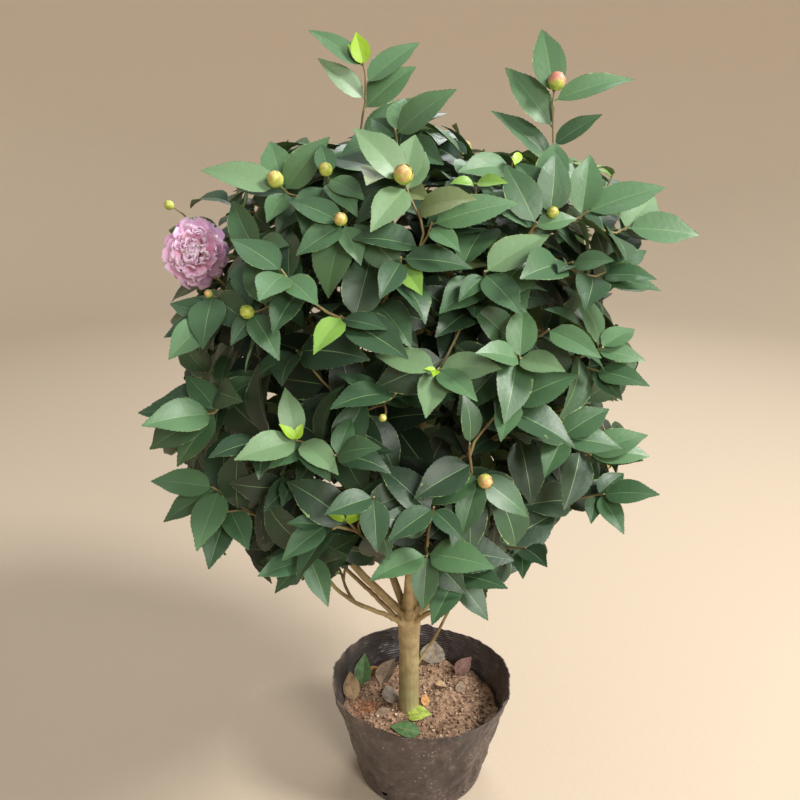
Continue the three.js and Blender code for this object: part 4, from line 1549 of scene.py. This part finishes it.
leaf_tints = [leaf_finish(f"leaf_{name}", color, 0.48, 0.1) for name, color in TINTS.items()]
rib_finish = leaf_finish("leaf_midrib", (116, 146, 98), 0.45, 0.1)
under_finish = leaf_finish("leaf_underside", (124, 148, 96), 0.6, 0.0)

for tier in ("skirt", "waist", "shoulder", "top"):
    own = [leaf for leaf in grown_leaves if leaf["tier"] == tier]
    mesh = joined_leaves(f"{tier}_leaves", own, rib_finish, under_finish, leaf_tints)
    piece = shown(f"{tier}_leaves", mesh)
    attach(piece, "root")
    nodes = [mass["name"] for mass in masses if tier_of(mass) == tier]
    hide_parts(*nodes)
    print(tier, "leaves:", len(own))

# %% [markdown]
# ## The bloom
# The one open flower is a full double: broad outer petals that lie back, then smaller and more ruffled
# ones that stand up round a salmon heart. A petal is a grid that is bent into a spoon with a wavy
# edge. Each point keeps how near the petal's edge it is, so that the colour can run from salmon at
# the foot to lilac pink at the edge.
# %% Petals
# Each ring: petals, length, width, opening in degrees, height of the foot, curl and ruffle.
PETAL_RINGS = (
    (8, 44, 37, 97, 2, -0.25, 1.6),
    (9, 41, 34, 84, 4, 0.0, 2.2),
    (10, 35, 28, 70, 8, 0.3, 3.0),
    (11, 30, 24, 56, 12, 0.4, 3.4),
    (11, 26, 21, 43, 16, 0.5, 3.6),
    (10, 23, 19, 30, 19, 0.5, 3.6),
    (7, 20, 17, 16, 21, 0.4, 3.2),
)
# The petals of the outer two rings open evenly, those of the inner ones more freely.
EVEN_RINGS = 2
PETAL_GRID = 9
PETAL_THICKNESS = 0.0005
FLOWER_AXIS = Vector((0.03, -0.96, 0.27)).normalized()
FLOWER_SHIFT = Vector((-8, 0, 0))


def facing(axis, azimuth, opened, place):
    """A frame whose Y runs out along a petal and whose Z is the petal's inner face."""
    first = axis.orthogonal().normalized()
    radial = first * cos(azimuth) + axis.cross(first) * sin(azimuth)
    ahead = axis * cos(opened) + radial * sin(opened)
    inner = axis * sin(opened) - radial * cos(opened)
    frame_axes = Matrix((ahead.cross(inner), ahead, inner)).transposed().to_4x4()
    return Matrix.Translation(place) @ frame_axes


def add_petal(made, layers, turned, length, width, curl, ruffle, key, outer):
    """A spoon-shaped sheet: a grid given an outline, a curl along its length and a ruffled edge."""
    reach, rank = layers
    for vert in bmesh.ops.create_grid(made, x_segments=PETAL_GRID, y_segments=PETAL_GRID, size=0.5)["verts"]:
        across, along = 2 * vert.co.x, vert.co.y + 0.5
        half = width / 2 * (0.16 + 1.3 * along**0.7) * sqrt(1 - 0.9 * along**6) / 1.1
        edge = max(abs(across) * along, along) ** 2.2
        wave = sin(4.4 * across + 3 * along + key) + 0.6 * sin(9.5 * across - 2 * along + 2.3 * key)
        bent = curl * along
        notch = 1 - 0.1 * exp(-((across / 0.25) ** 2)) * along**6 + 0.03 * sin(7 * across + key)
        forward = length * along * notch
        dip = 0.2 * width * (across * across - 0.3) * (1 - 0.5 * along)
        lift = dip + ruffle * edge * wave + forward * sin(bent) * 0.5
        vert.co = turned @ Vector((across * half, forward * cos(0.6 * bent), lift))
        vert[reach] = along
        vert[rank] = outer


# %% Rings of petals


def bloom_mesh(centre, axis):
    """The rings of petals round an axis, each petal with its own turn, size and opening."""
    made = bmesh.new()
    layers = made.verts.layers.float.new("reach"), made.verts.layers.float.new("outer")
    for ring, (count, length, width, opened, height, curl, ruffle) in enumerate(PETAL_RINGS):
        for i in range(count):
            key = 10 * ring + i
            azimuth = 2 * pi * (i + 0.5 * (ring % 2)) / count + 0.6 * (chance(key) - 0.5)
            angle = radians(opened + (10 if ring < EVEN_RINGS else 26) * (chance(key + 0.3) - 0.5))
            grown = 0.88 + 0.24 * chance(key + 0.7)
            turned = facing(axis, azimuth, angle, centre + axis * (height * 0.5 - 8))
            turned = turned @ Matrix.Rotation((0.3 + 0.25 * ring) * (chance(key + 0.5) - 0.5), 4, "Y")
            outer = max(0, 1 - ring / 3)
            add_petal(made, layers, turned, length * grown, width * grown, curl, ruffle, key, outer)
    return to_mesh(made, "bloom", MM)


# %% Petal finish
petal_finish = Finish("petal", (246, 186, 200), 0.6, Sheen_Weight=0.15)
reach = petal_finish.mark("reach")
petal_tone = petal_finish.blend(reach.between(0.3, 0.85), (255, 184, 172), (255, 212, 240))
petal_tone = petal_finish.blend(petal_finish.mark("outer") * 0.85, petal_tone, (255, 202, 252))
petal_tone = petal_finish.blend(reach.between(0.86, 1.0) * 0.7, petal_tone, (255, 240, 255))
petal_finish.set(Base_Color=petal_tone)
petal_finish.relief(petal_finish.grain(0.0016, 3), 0.0003, 0.5)
bloom_piece = shown("bloom", bloom_mesh(BLOOM_CENTRE + FLOWER_SHIFT, FLOWER_AXIS), [petal_finish.material])
thick = bloom_piece.modifiers.new("thickness", "SOLIDIFY")
thick.thickness = PETAL_THICKNESS
thick.offset = 0
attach(bloom_piece, "root")
print("bloom faces:", len(bloom_piece.data.polygons))

# %% [markdown]
# ## Flower buds
# A camellia bud is a ball of overlapping scales, yellow-green with a blush near the top. Each scale is a
# small patch laid on the ball, set round it by the golden angle and a little proud of the one
# before, over a plain core that closes what they leave open.
# %% Buds
BUD_SCALES = 8
BUD_STRETCH = 1.16
CORE_SHARE = 0.97


def add_bud(made, layers, centre, axis, diameter, blush):
    """A plain core and the scales laid round it, with the blush that its finish reads."""
    radius = diameter / 2
    tip, share = layers
    stand = axis.to_track_quat("Z", "Y").to_matrix().to_4x4()
    for vert in bmesh.ops.create_uvsphere(made, u_segments=12, v_segments=8, radius=1)["verts"]:
        vert[tip] = vert.co.z / 2 + 0.5
        vert[share] = blush
        vert.co.z *= BUD_STRETCH if vert.co.z > 0 else 1.0
        vert.co = centre + stand @ (vert.co * radius * CORE_SHARE)
    for i in range(BUD_SCALES):
        level = i / (BUD_SCALES - 1)
        for vert in bmesh.ops.create_grid(made, x_segments=4, y_segments=4, size=0.5)["verts"]:
            across, along = 2 * vert.co.x, vert.co.y + 0.5
            polar = mix(2.9 - 0.5 * level, 1.25 - 0.95 * level, along)
            azimuth = i * GOLDEN_ANGLE + across * 0.95 * sqrt(1 - 0.85 * along * along)
            proud = 1.0 + 0.05 * (1 - level) - 0.03 * abs(across) ** 3 + 0.03 * along**4
            spot = Vector((sin(polar) * cos(azimuth), sin(polar) * sin(azimuth), cos(polar)))
            spot.z *= BUD_STRETCH if spot.z > 0 else 1.0
            vert[tip] = along
            vert[share] = blush
            vert.co = centre + stand @ (spot * radius * proud)


def bud_mesh(buds):
    """All buds as one mesh, from the centre, axis, diameter and blush of each."""
    made = bmesh.new()
    layers = made.verts.layers.float.new("tip"), made.verts.layers.float.new("blush")
    for bud in buds:
        add_bud(made, layers, *bud)
    return to_mesh(made, "buds", MM)


# %% Where the buds sit
# Besides the buds that the photograph shows, one leafy shoot in ten at the sides and the back has one.
BUD_CHANCE = 0.1
BUD_SEAT = 0.42
OPENING_SEAT = -0.1
OPENING_BLUSH = 1.6

buds = []
for tip in shoots:
    size = tip.get("bud")
    away = (tip["point"] - CAMERA_PLACE).length
    if size:
        buds.append((tip, size / PHOTO_SIZE * away * 0.98))
    elif tip["kind"] == "long" and tip["point"].x > 0:
        buds.append((tip, 20))
    elif tip["kind"] == "leafy" and tip["point"].y > -60 and chance(tip["point"].y * 0.7) < BUD_CHANCE:
        buds.append((tip, 13 + 5 * chance(tip["point"].x)))
placed = []
for tip, size in buds:
    opening = "sprig" in tip
    seat = tip["point"] + tip["heading"] * size * (OPENING_SEAT if opening else BUD_SEAT)
    blush = OPENING_BLUSH if opening else chance(tip["point"].x + 4)
    placed.append((seat, tip["heading"], size, blush))
bud_finish = Finish("bud_scale", (182, 190, 92), 0.5, Coat_Weight=0.15, Coat_Roughness=0.4)
blush = bud_finish.mark("blush")
green_tone = bud_finish.blend(bud_finish.grain(0.006).between(0.3, 0.7), (158, 182, 66), (210, 216, 106))
pink = (bud_finish.mark("tip") + blush * 0.16).between(0.78, 1.04) * blush * 0.5
bud_finish.set(Base_Color=bud_finish.blend(pink, green_tone, (228, 128, 134)))
bud_finish.relief(bud_finish.grain(0.0012, 3), 0.0003, 0.4)
buds_piece = shown("buds", bud_mesh(placed), [bud_finish.material])
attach(buds_piece, "root")
print("buds:", len(placed), "faces", len(buds_piece.data.polygons))

# %% [markdown]
# ## The pot
# The pot is a soft black nursery pot, grey-brown with dust. Its wall is one spun profile, bent by the same
# slow waves as the solid: a little oval, with a rim that wanders. Crinkles and pleats then push the
# wall in and out, and fine ribs run round inside the rim. The holes near the foot are cut with
# a boolean, because they must go right through.
# %% The soft wall
RIM_RIBS = 14
RIB_PITCH = 3.6
RIB_DEPTH = 0.9
# Each pleat: its azimuth and width in degrees, and how far it pushes the wall out.
PLEATS = (
    *((-62, 5.5, 2.6), (-128, 4.0, -1.6), (-98, 7.0, 1.2)),
    *((-22, 5.0, -1.5), (150, 6.0, 1.8), (75, 5.0, -1.6)),
)


def oval(azimuth, share):
    """How much wider the wall is at an azimuth, at a share of its height."""
    return 1 + RIM_OVAL * share * share * cos(2 * azimuth + 0.5)


def soft_wall(point):
    """The pot's wall is a little oval and its rim wanders up and down."""
    share = min(1, point.z / POT_HEIGHT)
    azimuth = atan2(point.y, point.x)
    lift = RIM_WANDER * share**6 * (sin(3 * azimuth + 1) + 0.5 * sin(5 * azimuth))
    return around(azimuth, hypot(point.x, point.y) * oval(azimuth, share), point.z + lift)


def wall_radius(height):
    """The outer radius of the plain, unbent wall."""
    return mix(POT_BASE_RADIUS, POT_RIM_RADIUS, height / POT_HEIGHT)


def apart(first, second):
    """The angle between two azimuths, in radians."""
    return abs((first - second + pi) % (2 * pi) - pi)


def rib_share(height):
    """1 on the crest of each rib that runs round inside the rim, 0 between them."""
    under = (POT_HEIGHT - height) / RIB_PITCH
    return max(0, cos(2 * pi * under)) ** 2 if 0.7 < under < RIM_RIBS else 0


def crinkle(azimuth, height):
    """How far the soft wall is pushed out: pleats from rim to foot, and small creases between them."""
    share = height / POT_HEIGHT
    push = 0
    for degrees, width, depth in PLEATS:
        centre = radians(degrees + 9 * sin(3 * share + degrees))
        ridge = exp(-((apart(azimuth, centre) / radians(width)) ** 2))
        push += depth * ridge * (0.35 + 0.65 * sin(pi * share))
    place = Vector((4.5 * cos(azimuth), 4.5 * sin(azimuth), 4 * share))
    creases = abs(noise.noise(place)) + 0.45 * abs(noise.noise(place * 2.3))
    fine = abs(noise.noise(place * 5.3))
    fade = step_up(share, 0.0, 0.12)
    return fade * (push + 6 * (creases - 0.35) + 1.5 * (fine - 0.2))


# %% The pot's wall
POT_STEPS = 280
WALL_RINGS = 60
# Where the rim is torn down or stands up as a tab: azimuth, width in radians, and share of the depth.
RIM_TEARS = ((radians(197), 0.055, 1), (radians(84), 0.06, -0.7))
TEAR_DEPTH = 5.0
TEAR_REACH = 14


def pot_profile():
    """The pot's section: out along its underside, up the wall, over the lip and down inside."""
    outside = [(0, 0), (POT_BASE_RADIUS * 0.5, 0), (POT_BASE_RADIUS - 3, 0), (POT_BASE_RADIUS, 2)]
    for i in range(1, WALL_RINGS + 1):
        height = 2 + (POT_HEIGHT - 3.2) * i / WALL_RINGS
        outside.append((wall_radius(height), height))
    lip = [(0.9, -0.8), (0.7, 0), (-0.9, 0)]
    inside = []
    for i in range(84):
        height = POT_HEIGHT - 1 - 0.85 * i
        rib = rib_share(height) * RIB_DEPTH
        inside.append((wall_radius(height) - POT_WALL + 0.3 - rib, height))
    inside += [(wall_radius(60) - POT_WALL, 60), (wall_radius(3) - POT_WALL, 3), (0, 2)]
    return outside + [(POT_RIM_RADIUS + dr, POT_HEIGHT + dz) for dr, dz in lip] + inside


def shape_pot(made):
    """Marks the outer wall and the ribs, then bends the spun wall into its soft shape."""
    outer = made.verts.layers.float.new("outer")
    rib = made.verts.layers.float.new("rib")
    for vert in made.verts:
        azimuth = atan2(vert.co.y, vert.co.x)
        radius = hypot(vert.co.x, vert.co.y)
        vert[outer] = radius > wall_radius(vert.co.z) - POT_WALL / 2
        vert[rib] = rib_share(vert.co.z)
        if radius > POT_BASE_RADIUS * 0.6:
            vert.co += around(azimuth, crinkle(azimuth, vert.co.z), 0)
            torn = sum(share * exp(-((apart(azimuth, at) / wide) ** 2)) for at, wide, share in RIM_TEARS)
            vert.co.z -= TEAR_DEPTH * torn * step_up(vert.co.z, POT_HEIGHT - TEAR_REACH, POT_HEIGHT)
        vert.co = soft_wall(vert.co)


pot_shape = spun(pot_profile(), POT_STEPS)
shape_pot(pot_shape)
pot_mesh = to_mesh(pot_shape, "pot_wall", MM)
print("pot faces before its holes:", len(pot_mesh.polygons))

# %% Drain holes
DRAIN_HOLES = 5
DRAIN_RADIUS = 5
DRAIN_HEIGHT = 17
DRAIN_TURN = 235
DRILL_OVAL = Matrix.Diagonal((0.8, 1.15, 1, 1))

drills = bmesh.new()
drill = {"cap_ends": True, "segments": 20, "radius1": DRAIN_RADIUS, "radius2": DRAIN_RADIUS, "depth": 24}
for i in range(DRAIN_HOLES):
    azimuth = radians(DRAIN_TURN + i * 360 / DRAIN_HOLES)
    centre = around(azimuth, wall_radius(DRAIN_HEIGHT), DRAIN_HEIGHT)
    lay = Matrix.Rotation(azimuth, 4, "Z") @ Matrix.Rotation(pi / 2, 4, "Y") @ DRILL_OVAL
    bmesh.ops.create_cone(drills, matrix=Matrix.Translation(centre) @ lay, **drill)
drill_object = linked("drills", to_mesh(drills, "drills", MM))
pot_object = linked("uncut_pot", pot_mesh)
cut = pot_object.modifiers.new("holes", "BOOLEAN")
cut.operation = "DIFFERENCE"
cut.object = drill_object
cut_mesh = finished_mesh(pot_object)
bpy.data.objects.remove(drill_object)
print("pot faces with its holes:", len(cut_mesh.polygons))

# %% [markdown]
# Black polythene that has stood in a nursery is never black. Dust lies on its outside in brown-grey
# clouds with finer specks, soft scuffs and a few pale flecks show over it, and a patchy pale band near
# the rim on the left is a painted highlight. Inside it stays dark and a little glossy, and a paler line
# on the ribs under the rim is a painted highlight too.
# %% Pot finish
pot_finish = Finish("dusty_polythene", (78, 68, 61), 0.55, Specular_IOR_Level=0.5)
east, height = (
    pot_finish.node("ShaderNodeSeparateXYZ", {0: pot_finish.place()}, output=axis) for axis in "XZ"
)
clouds = pot_finish.grain(0.035, 4, (1, 1, 0.8), 0.55)
speckle = pot_finish.grain(0.005, 3, rough=0.55)
scuffs = pot_finish.grain(0.016, 4, (0.6, 0.6, 1.5), 0.6)
flecks = pot_finish.grain(0.0032, 1).between(0.67, 0.75) * clouds.between(0.42, 0.62)
level = pot_finish.grain(0.03, 3, (1, 1, 1.6), 0.5)
outside = pot_finish.mark("outer")
dust = outside * (clouds.between(0.3, 0.7) * 0.6 + speckle.between(0.4, 0.8) * 0.3 + 0.1)
pot_tone = pot_finish.blend(dust, (52, 45, 45), (94, 81, 77))
# Painted highlight: a paler line on the crest of each rib inside the rim.
pot_tone = pot_finish.blend((1 - outside) * pot_finish.mark("rib") * 0.55, pot_tone, (128, 126, 128))
pot_tone = pot_finish.blend(scuffs.between(0.56, 0.7) * 0.45, pot_tone, (128, 114, 108))
pot_tone = pot_finish.blend(outside * flecks * 0.8, pot_tone, (206, 198, 190))
# Painted highlight: a patchy pale band just under the rim on the left side.
painted_rim_highlight = height.between(0.15, 0.175) * (1 - east.between(-0.13, -0.07))
pot_tone = pot_finish.blend(painted_rim_highlight * clouds.between(0.3, 0.6) * 0.6, pot_tone, (164, 148, 138))
pot_finish.set(Base_Color=pot_tone, Roughness=0.32 + 0.26 * dust)
pot_finish.relief(level * 0.8 + scuffs * 0.2, 0.004, 0.5)
pot_piece = shown("pot_wall", cut_mesh, [pot_finish.material])
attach(pot_piece, "root")
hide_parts("pot")

# %% [markdown]
# ## Potting soil
# The soil lies 60 mm under the rim, heaped a little and crumbly. A spun disc carries the lumps of the
# solid and finer noise, and loose crumbs of many sizes are strewn over it. The crumbs are one mesh of
# small twenty-sided stones worked out as an array.
# %% Soil surface
SOIL_RINGS = 70
SOIL_STEPS = 200
# Between these radii the soil's edge comes to follow the creases of the wall.
FOLLOW = (80, 118)


def soil_rise(x, y):
    """The broad lumps of the solid's soil, which leave the trunk's seat flat."""
    free = step_up(hypot(x - TRUNK_X, y), SEAT_RADIUS, 1.5 * SEAT_RADIUS)
    waves = sin(x / 23 + 1) * cos(y / 19) + 0.6 * sin(x / 11 - y / 13)
    return free * SOIL_LUMPS * waves


def soil_height(x, y):
    """The soil's surface: the solid's lumps with crumbs and hollows on them."""
    place = Vector((x, y, 0))
    crumbs = noise.noise(place / 13) * 2.6 + noise.noise(place / 5.5) * 1.7
    crumbs += abs(noise.noise(place / 2.6)) * 1.6
    return SOIL_LEVEL + soil_rise(x, y) + crumbs


def soil_profile():
    """The soil's section: out over its top and down inside the wall."""
    edge = wall_radius(SOIL_LEVEL) - POT_WALL - 0.4
    top = [(edge * i / SOIL_RINGS, SOIL_LEVEL) for i in range(SOIL_RINGS + 1)]
    return top + [(edge, SOIL_LEVEL - 3), (wall_radius(100) - 9, 100), (wall_radius(6) - 9, 6), (0, 6)]


soil_shape = spun(soil_profile(), SOIL_STEPS)
for vert in soil_shape.verts:
    azimuth, radius = atan2(vert.co.y, vert.co.x), hypot(vert.co.x, vert.co.y)
    if vert.co.z > SOIL_LEVEL - 1:
        vert.co.z = soil_height(vert.co.x, vert.co.y)
    wall_push = crinkle(azimuth, vert.co.z) + wall_radius(vert.co.z) - wall_radius(SOIL_LEVEL)
    if radius > FOLLOW[0] and vert.co.z > SOIL_LEVEL - 10:
        vert.co += around(azimuth, wall_push * step_up(radius, *FOLLOW), 0)
    vert.co = soft_wall(vert.co)
print("soil faces:", len(soil_shape.faces))

# %% Soil finish
soil_finish = Finish("potting_mix", (132, 104, 84), 0.95)
clods = soil_finish.grain(0.009, 5, rough=0.65)
grit = soil_finish.grain(0.0016, 4, rough=0.7)
soil_tone = soil_finish.blend(clods.between(0.34, 0.64), (104, 76, 58), (168, 136, 110))
soil_tone = soil_finish.blend(grit.between(0.56, 0.72) * 0.7, soil_tone, (196, 172, 148))
soil_finish.set(Base_Color=soil_tone)
soil_finish.relief(grit * 0.6 + clods * 0.4, 0.0018, 0.9)
soil_piece = shown("soil_bed", to_mesh(soil_shape, "soil_bed", MM), [soil_finish.material])
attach(soil_piece, "root")
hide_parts("soil")

# %% Crumbs
CRUMBS = 3200
CRUMB_REACH = 115
LEAST_CRUMB = 0.7
CRUMB_SPREAD = 3.0


def crumb_mesh(count):
    """Small stones strewn on the soil, each a twenty-sided ball that is squashed and turned its own way."""
    ball = bmesh.new()
    bmesh.ops.create_icosphere(ball, subdivisions=1, radius=1)
    ball.verts.ensure_lookup_table()
    points = np.array([vert.co[:] for vert in ball.verts])
    faces = np.array([[vert.index for vert in face.verts] for face in ball.faces])
    ball.free()
    stones = []
    for i in range(count):
        radius = CRUMB_REACH * sqrt((i + 0.5) / count)
        azimuth = i * GOLDEN_ANGLE + 2 * chance(i)
        x, y = radius * cos(azimuth), radius * sin(azimuth)
        if hypot(x - TRUNK_X, y) < TRUNK_FOOT_RADIUS + 1:
            continue
        size = LEAST_CRUMB + CRUMB_SPREAD * chance(i + 0.4) ** 4
        squash = Matrix.Diagonal((1, 0.6 + 0.5 * chance(i + 0.1), 0.5 + 0.4 * chance(i + 0.2)))
        tipped = Matrix.Rotation(chance(i + 0.9), 3, "X")
        turned = Matrix.Rotation(6 * chance(i + 0.7), 3, "Z") @ tipped @ squash
        dented = points * (0.8 + 0.4 * np.array([chance(i + 9.1 * k) for k in range(len(points))]))[:, None]
        stones.append(dented @ np.array(turned).T * size + (x, y, soil_height(x, y) + 0.3 * size))
    mesh = bpy.data.meshes.new("crumbs")
    strewn = np.concatenate(stones) * MM
    offsets = np.arange(len(stones))[:, None, None] * len(points)
    mesh.from_pydata(strewn.tolist(), [], (faces[None] + offsets).reshape(-1, 3).tolist())
    return mesh


crumb_finish = Finish("soil_crumb", (120, 95, 76), 0.95)
crumb_grain = crumb_finish.grain(0.006, 3)
crumb_tone = crumb_finish.blend(crumb_grain.between(0.35, 0.6), (92, 68, 53), (176, 146, 118))
crumb_tone = crumb_finish.blend(crumb_grain.between(0.6, 0.68), crumb_tone, (222, 206, 182))
crumb_finish.set(Base_Color=crumb_tone)
crumb_finish.relief(crumb_finish.grain(0.001, 3), 0.0006)
crumbs_piece = shown("soil_crumbs", crumb_mesh(CRUMBS), [crumb_finish.material])
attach(crumbs_piece, "root")
print("crumb faces:", len(crumbs_piece.data.polygons))

# %% [markdown]
# Fallen leaves lie on the soil: two still green, a fresh yellow one and several dry ones. They are leaves
# of the same shape, laid where the photograph shows them by following the line of sight down to the
# soil.
# %% Litter
# Each fallen leaf: its middle in the photograph, length, width, turn in degrees, tone, rise of its far
# end, lean to its side.
LITTER = (
    (361, 661, 54, 30, 80, 0, 1.7, -0.2),
    (371, 668, 30, 16, 5, 2, 0.2, 0.3),
    (388, 674, 56, 36, 60, 3, 0.4, -0.2),
    (389, 694, 40, 26, 100, 6, 0.2, 0.3),
    (352, 689, 50, 30, 105, 4, 0.8, -0.5),
    (434, 646, 44, 44, 80, 6, 1.3, 0.1),
    (437, 659, 36, 16, 10, 4, 0.1, 0.2),
    (469, 663, 42, 26, 30, 5, 0.7, 0.3),
    (425, 700, 26, 15, 80, 2, 0.2, 0.4),
    (419, 714, 42, 33, -8, 1, 0.1, 0.1),
    (405, 729, 52, 32, 170, 0, 0.1, -0.1),
    (441, 684, 26, 12, -35, 4, 0.1, 0.2),
    (460, 688, 28, 14, 60, 3, 0.1, 0.3),
    (383, 712, 26, 13, 20, 3, 0.1, 0.3),
)
# %% A leaf laid on the soil
LITTER_GAP = 0.8
LITTER_SINK = 0.7


def on_soil(x, y, height):
    """The point at a height that shows at a spot of the photograph."""
    way = line_of_sight(x, y)
    return CAMERA_PLACE + way * ((height - CAMERA_PLACE.z) / way.z)


def past_wall(place):
    """How far a point is past the inner face of the pot's wall."""
    azimuth = atan2(place[1], place[0])
    inner = wall_radius(place[2]) - POT_WALL - RIB_DEPTH + crinkle(azimuth, place[2])
    return hypot(place[0], place[1]) - inner * oval(azimuth, place[2] / POT_HEIGHT) + LITTER_GAP


def fallen(x, y, length, width, degrees, sort, rise, lean):
    """A leaf lowered until its lowest points touch the soil, and drawn in until it clears the wall."""
    middle = on_soil(x, y, SOIL_LEVEL + 3 + 0.35 * rise * length)
    flat = around(radians(degrees), 1, 0)
    along = (flat + UP * rise).normalized()
    light = UP + flat.cross(UP) * lean - Vector((0, 1.2, 0)) * rise
    leaf = {
        **leaf_frame(middle - along * length * 0.5, along, light),
        "length": length,
        "width": width,
        "bend": 0.25 + 0.3 * chance(x),
        "fold": 0.1 + 0.4 * chance(y),
        "twist": 0.8 * (chance(x + y) - 0.5),
        "phase": x,
        "tint": sort,
    }
    places = leaf_places([leaf])[0]
    leaf["root"] -= UP * (min(place[2] - soil_height(place[0], place[1]) for place in places) - LITTER_SINK)
    for _ in range(30):
        worst = max(leaf_places([leaf])[0], key=past_wall)
        if past_wall(worst) < 0:
            break
        leaf["root"] -= around(atan2(worst[1], worst[0]), min(2, past_wall(worst) + 0.2), 0)
    return leaf


# %% Finishes of the fallen leaves
# The first two tones are fresh leaves, which are smoother, and the others dry ones.
LITTER_TONES = (
    *((84, 122, 72), (176, 196, 84)),
    *((204, 148, 92), (138, 116, 96), (196, 164, 126), (128, 96, 88), (150, 138, 124)),
)
FRESH_TONES = 2
BLOTCH_SHADE = 0.78


def plain_litter(name, color, roughness):
    made = Finish(name, color, roughness)
    return made.relief(made.grain(0.003), 0.0004).material


litter_tints = []
for number, color in enumerate(LITTER_TONES):
    made = Finish(f"fallen_leaf_{number + 1}", color, 0.62 if number < FRESH_TONES else 0.85)
    blotch = made.grain(0.008, 4).between(0.4, 0.68)
    made.set(Base_Color=made.blend(blotch, color, [part * BLOTCH_SHADE for part in color]))
    litter_tints.append(made.relief(made.grain(0.003, 3), 0.0006).material)
litter_rib = plain_litter("fallen_midrib", (150, 128, 92), 0.8)
litter_under = plain_litter("fallen_underside", (140, 120, 90), 0.85)
litter = [fallen(*each) for each in LITTER]
litter_mesh = joined_leaves("fallen_leaves", litter, litter_rib, litter_under, litter_tints)
litter_piece = shown("fallen_leaves", litter_mesh)
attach(litter_piece, "root")
print("fallen leaves:", len(litter))

# %% A tuft of dry moss
MOSS_SPOT = on_soil(366, 706, SOIL_LEVEL + 4)
MOSS_STRANDS = 150
MOSS_RADIUS = 0.35
MOSS_SIDES = 4
tuft = []
for i in range(MOSS_STRANDS):
    foot = MOSS_SPOT + Vector((34 * (chance(i) - 0.5), 30 * (chance(i + 0.5) - 0.5), 0))
    foot.z = soil_height(foot.x, foot.y) + 0.3
    lean = sway(i + 0.2) * 16
    end = foot + Vector((lean.x, lean.y, 2 + 3 * chance(i + 0.8)))
    arch = (foot + end) / 2 + UP * 3
    tuft.append([(point, MOSS_RADIUS) for point in bezier(foot, arch, end, steps=5).points])
moss = Finish("dry_moss", (150, 92, 66), 0.9)
moss.set(Base_Color=moss.blend(moss.grain(0.004).between(0.3, 0.7), (150, 88, 60), (206, 150, 108)))
moss_piece = shown("dry_moss", strands_mesh("dry_moss", tuft, MOSS_SIDES), [moss.material])
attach(moss_piece, "root")
print("moss faces:", len(moss_piece.data.polygons))
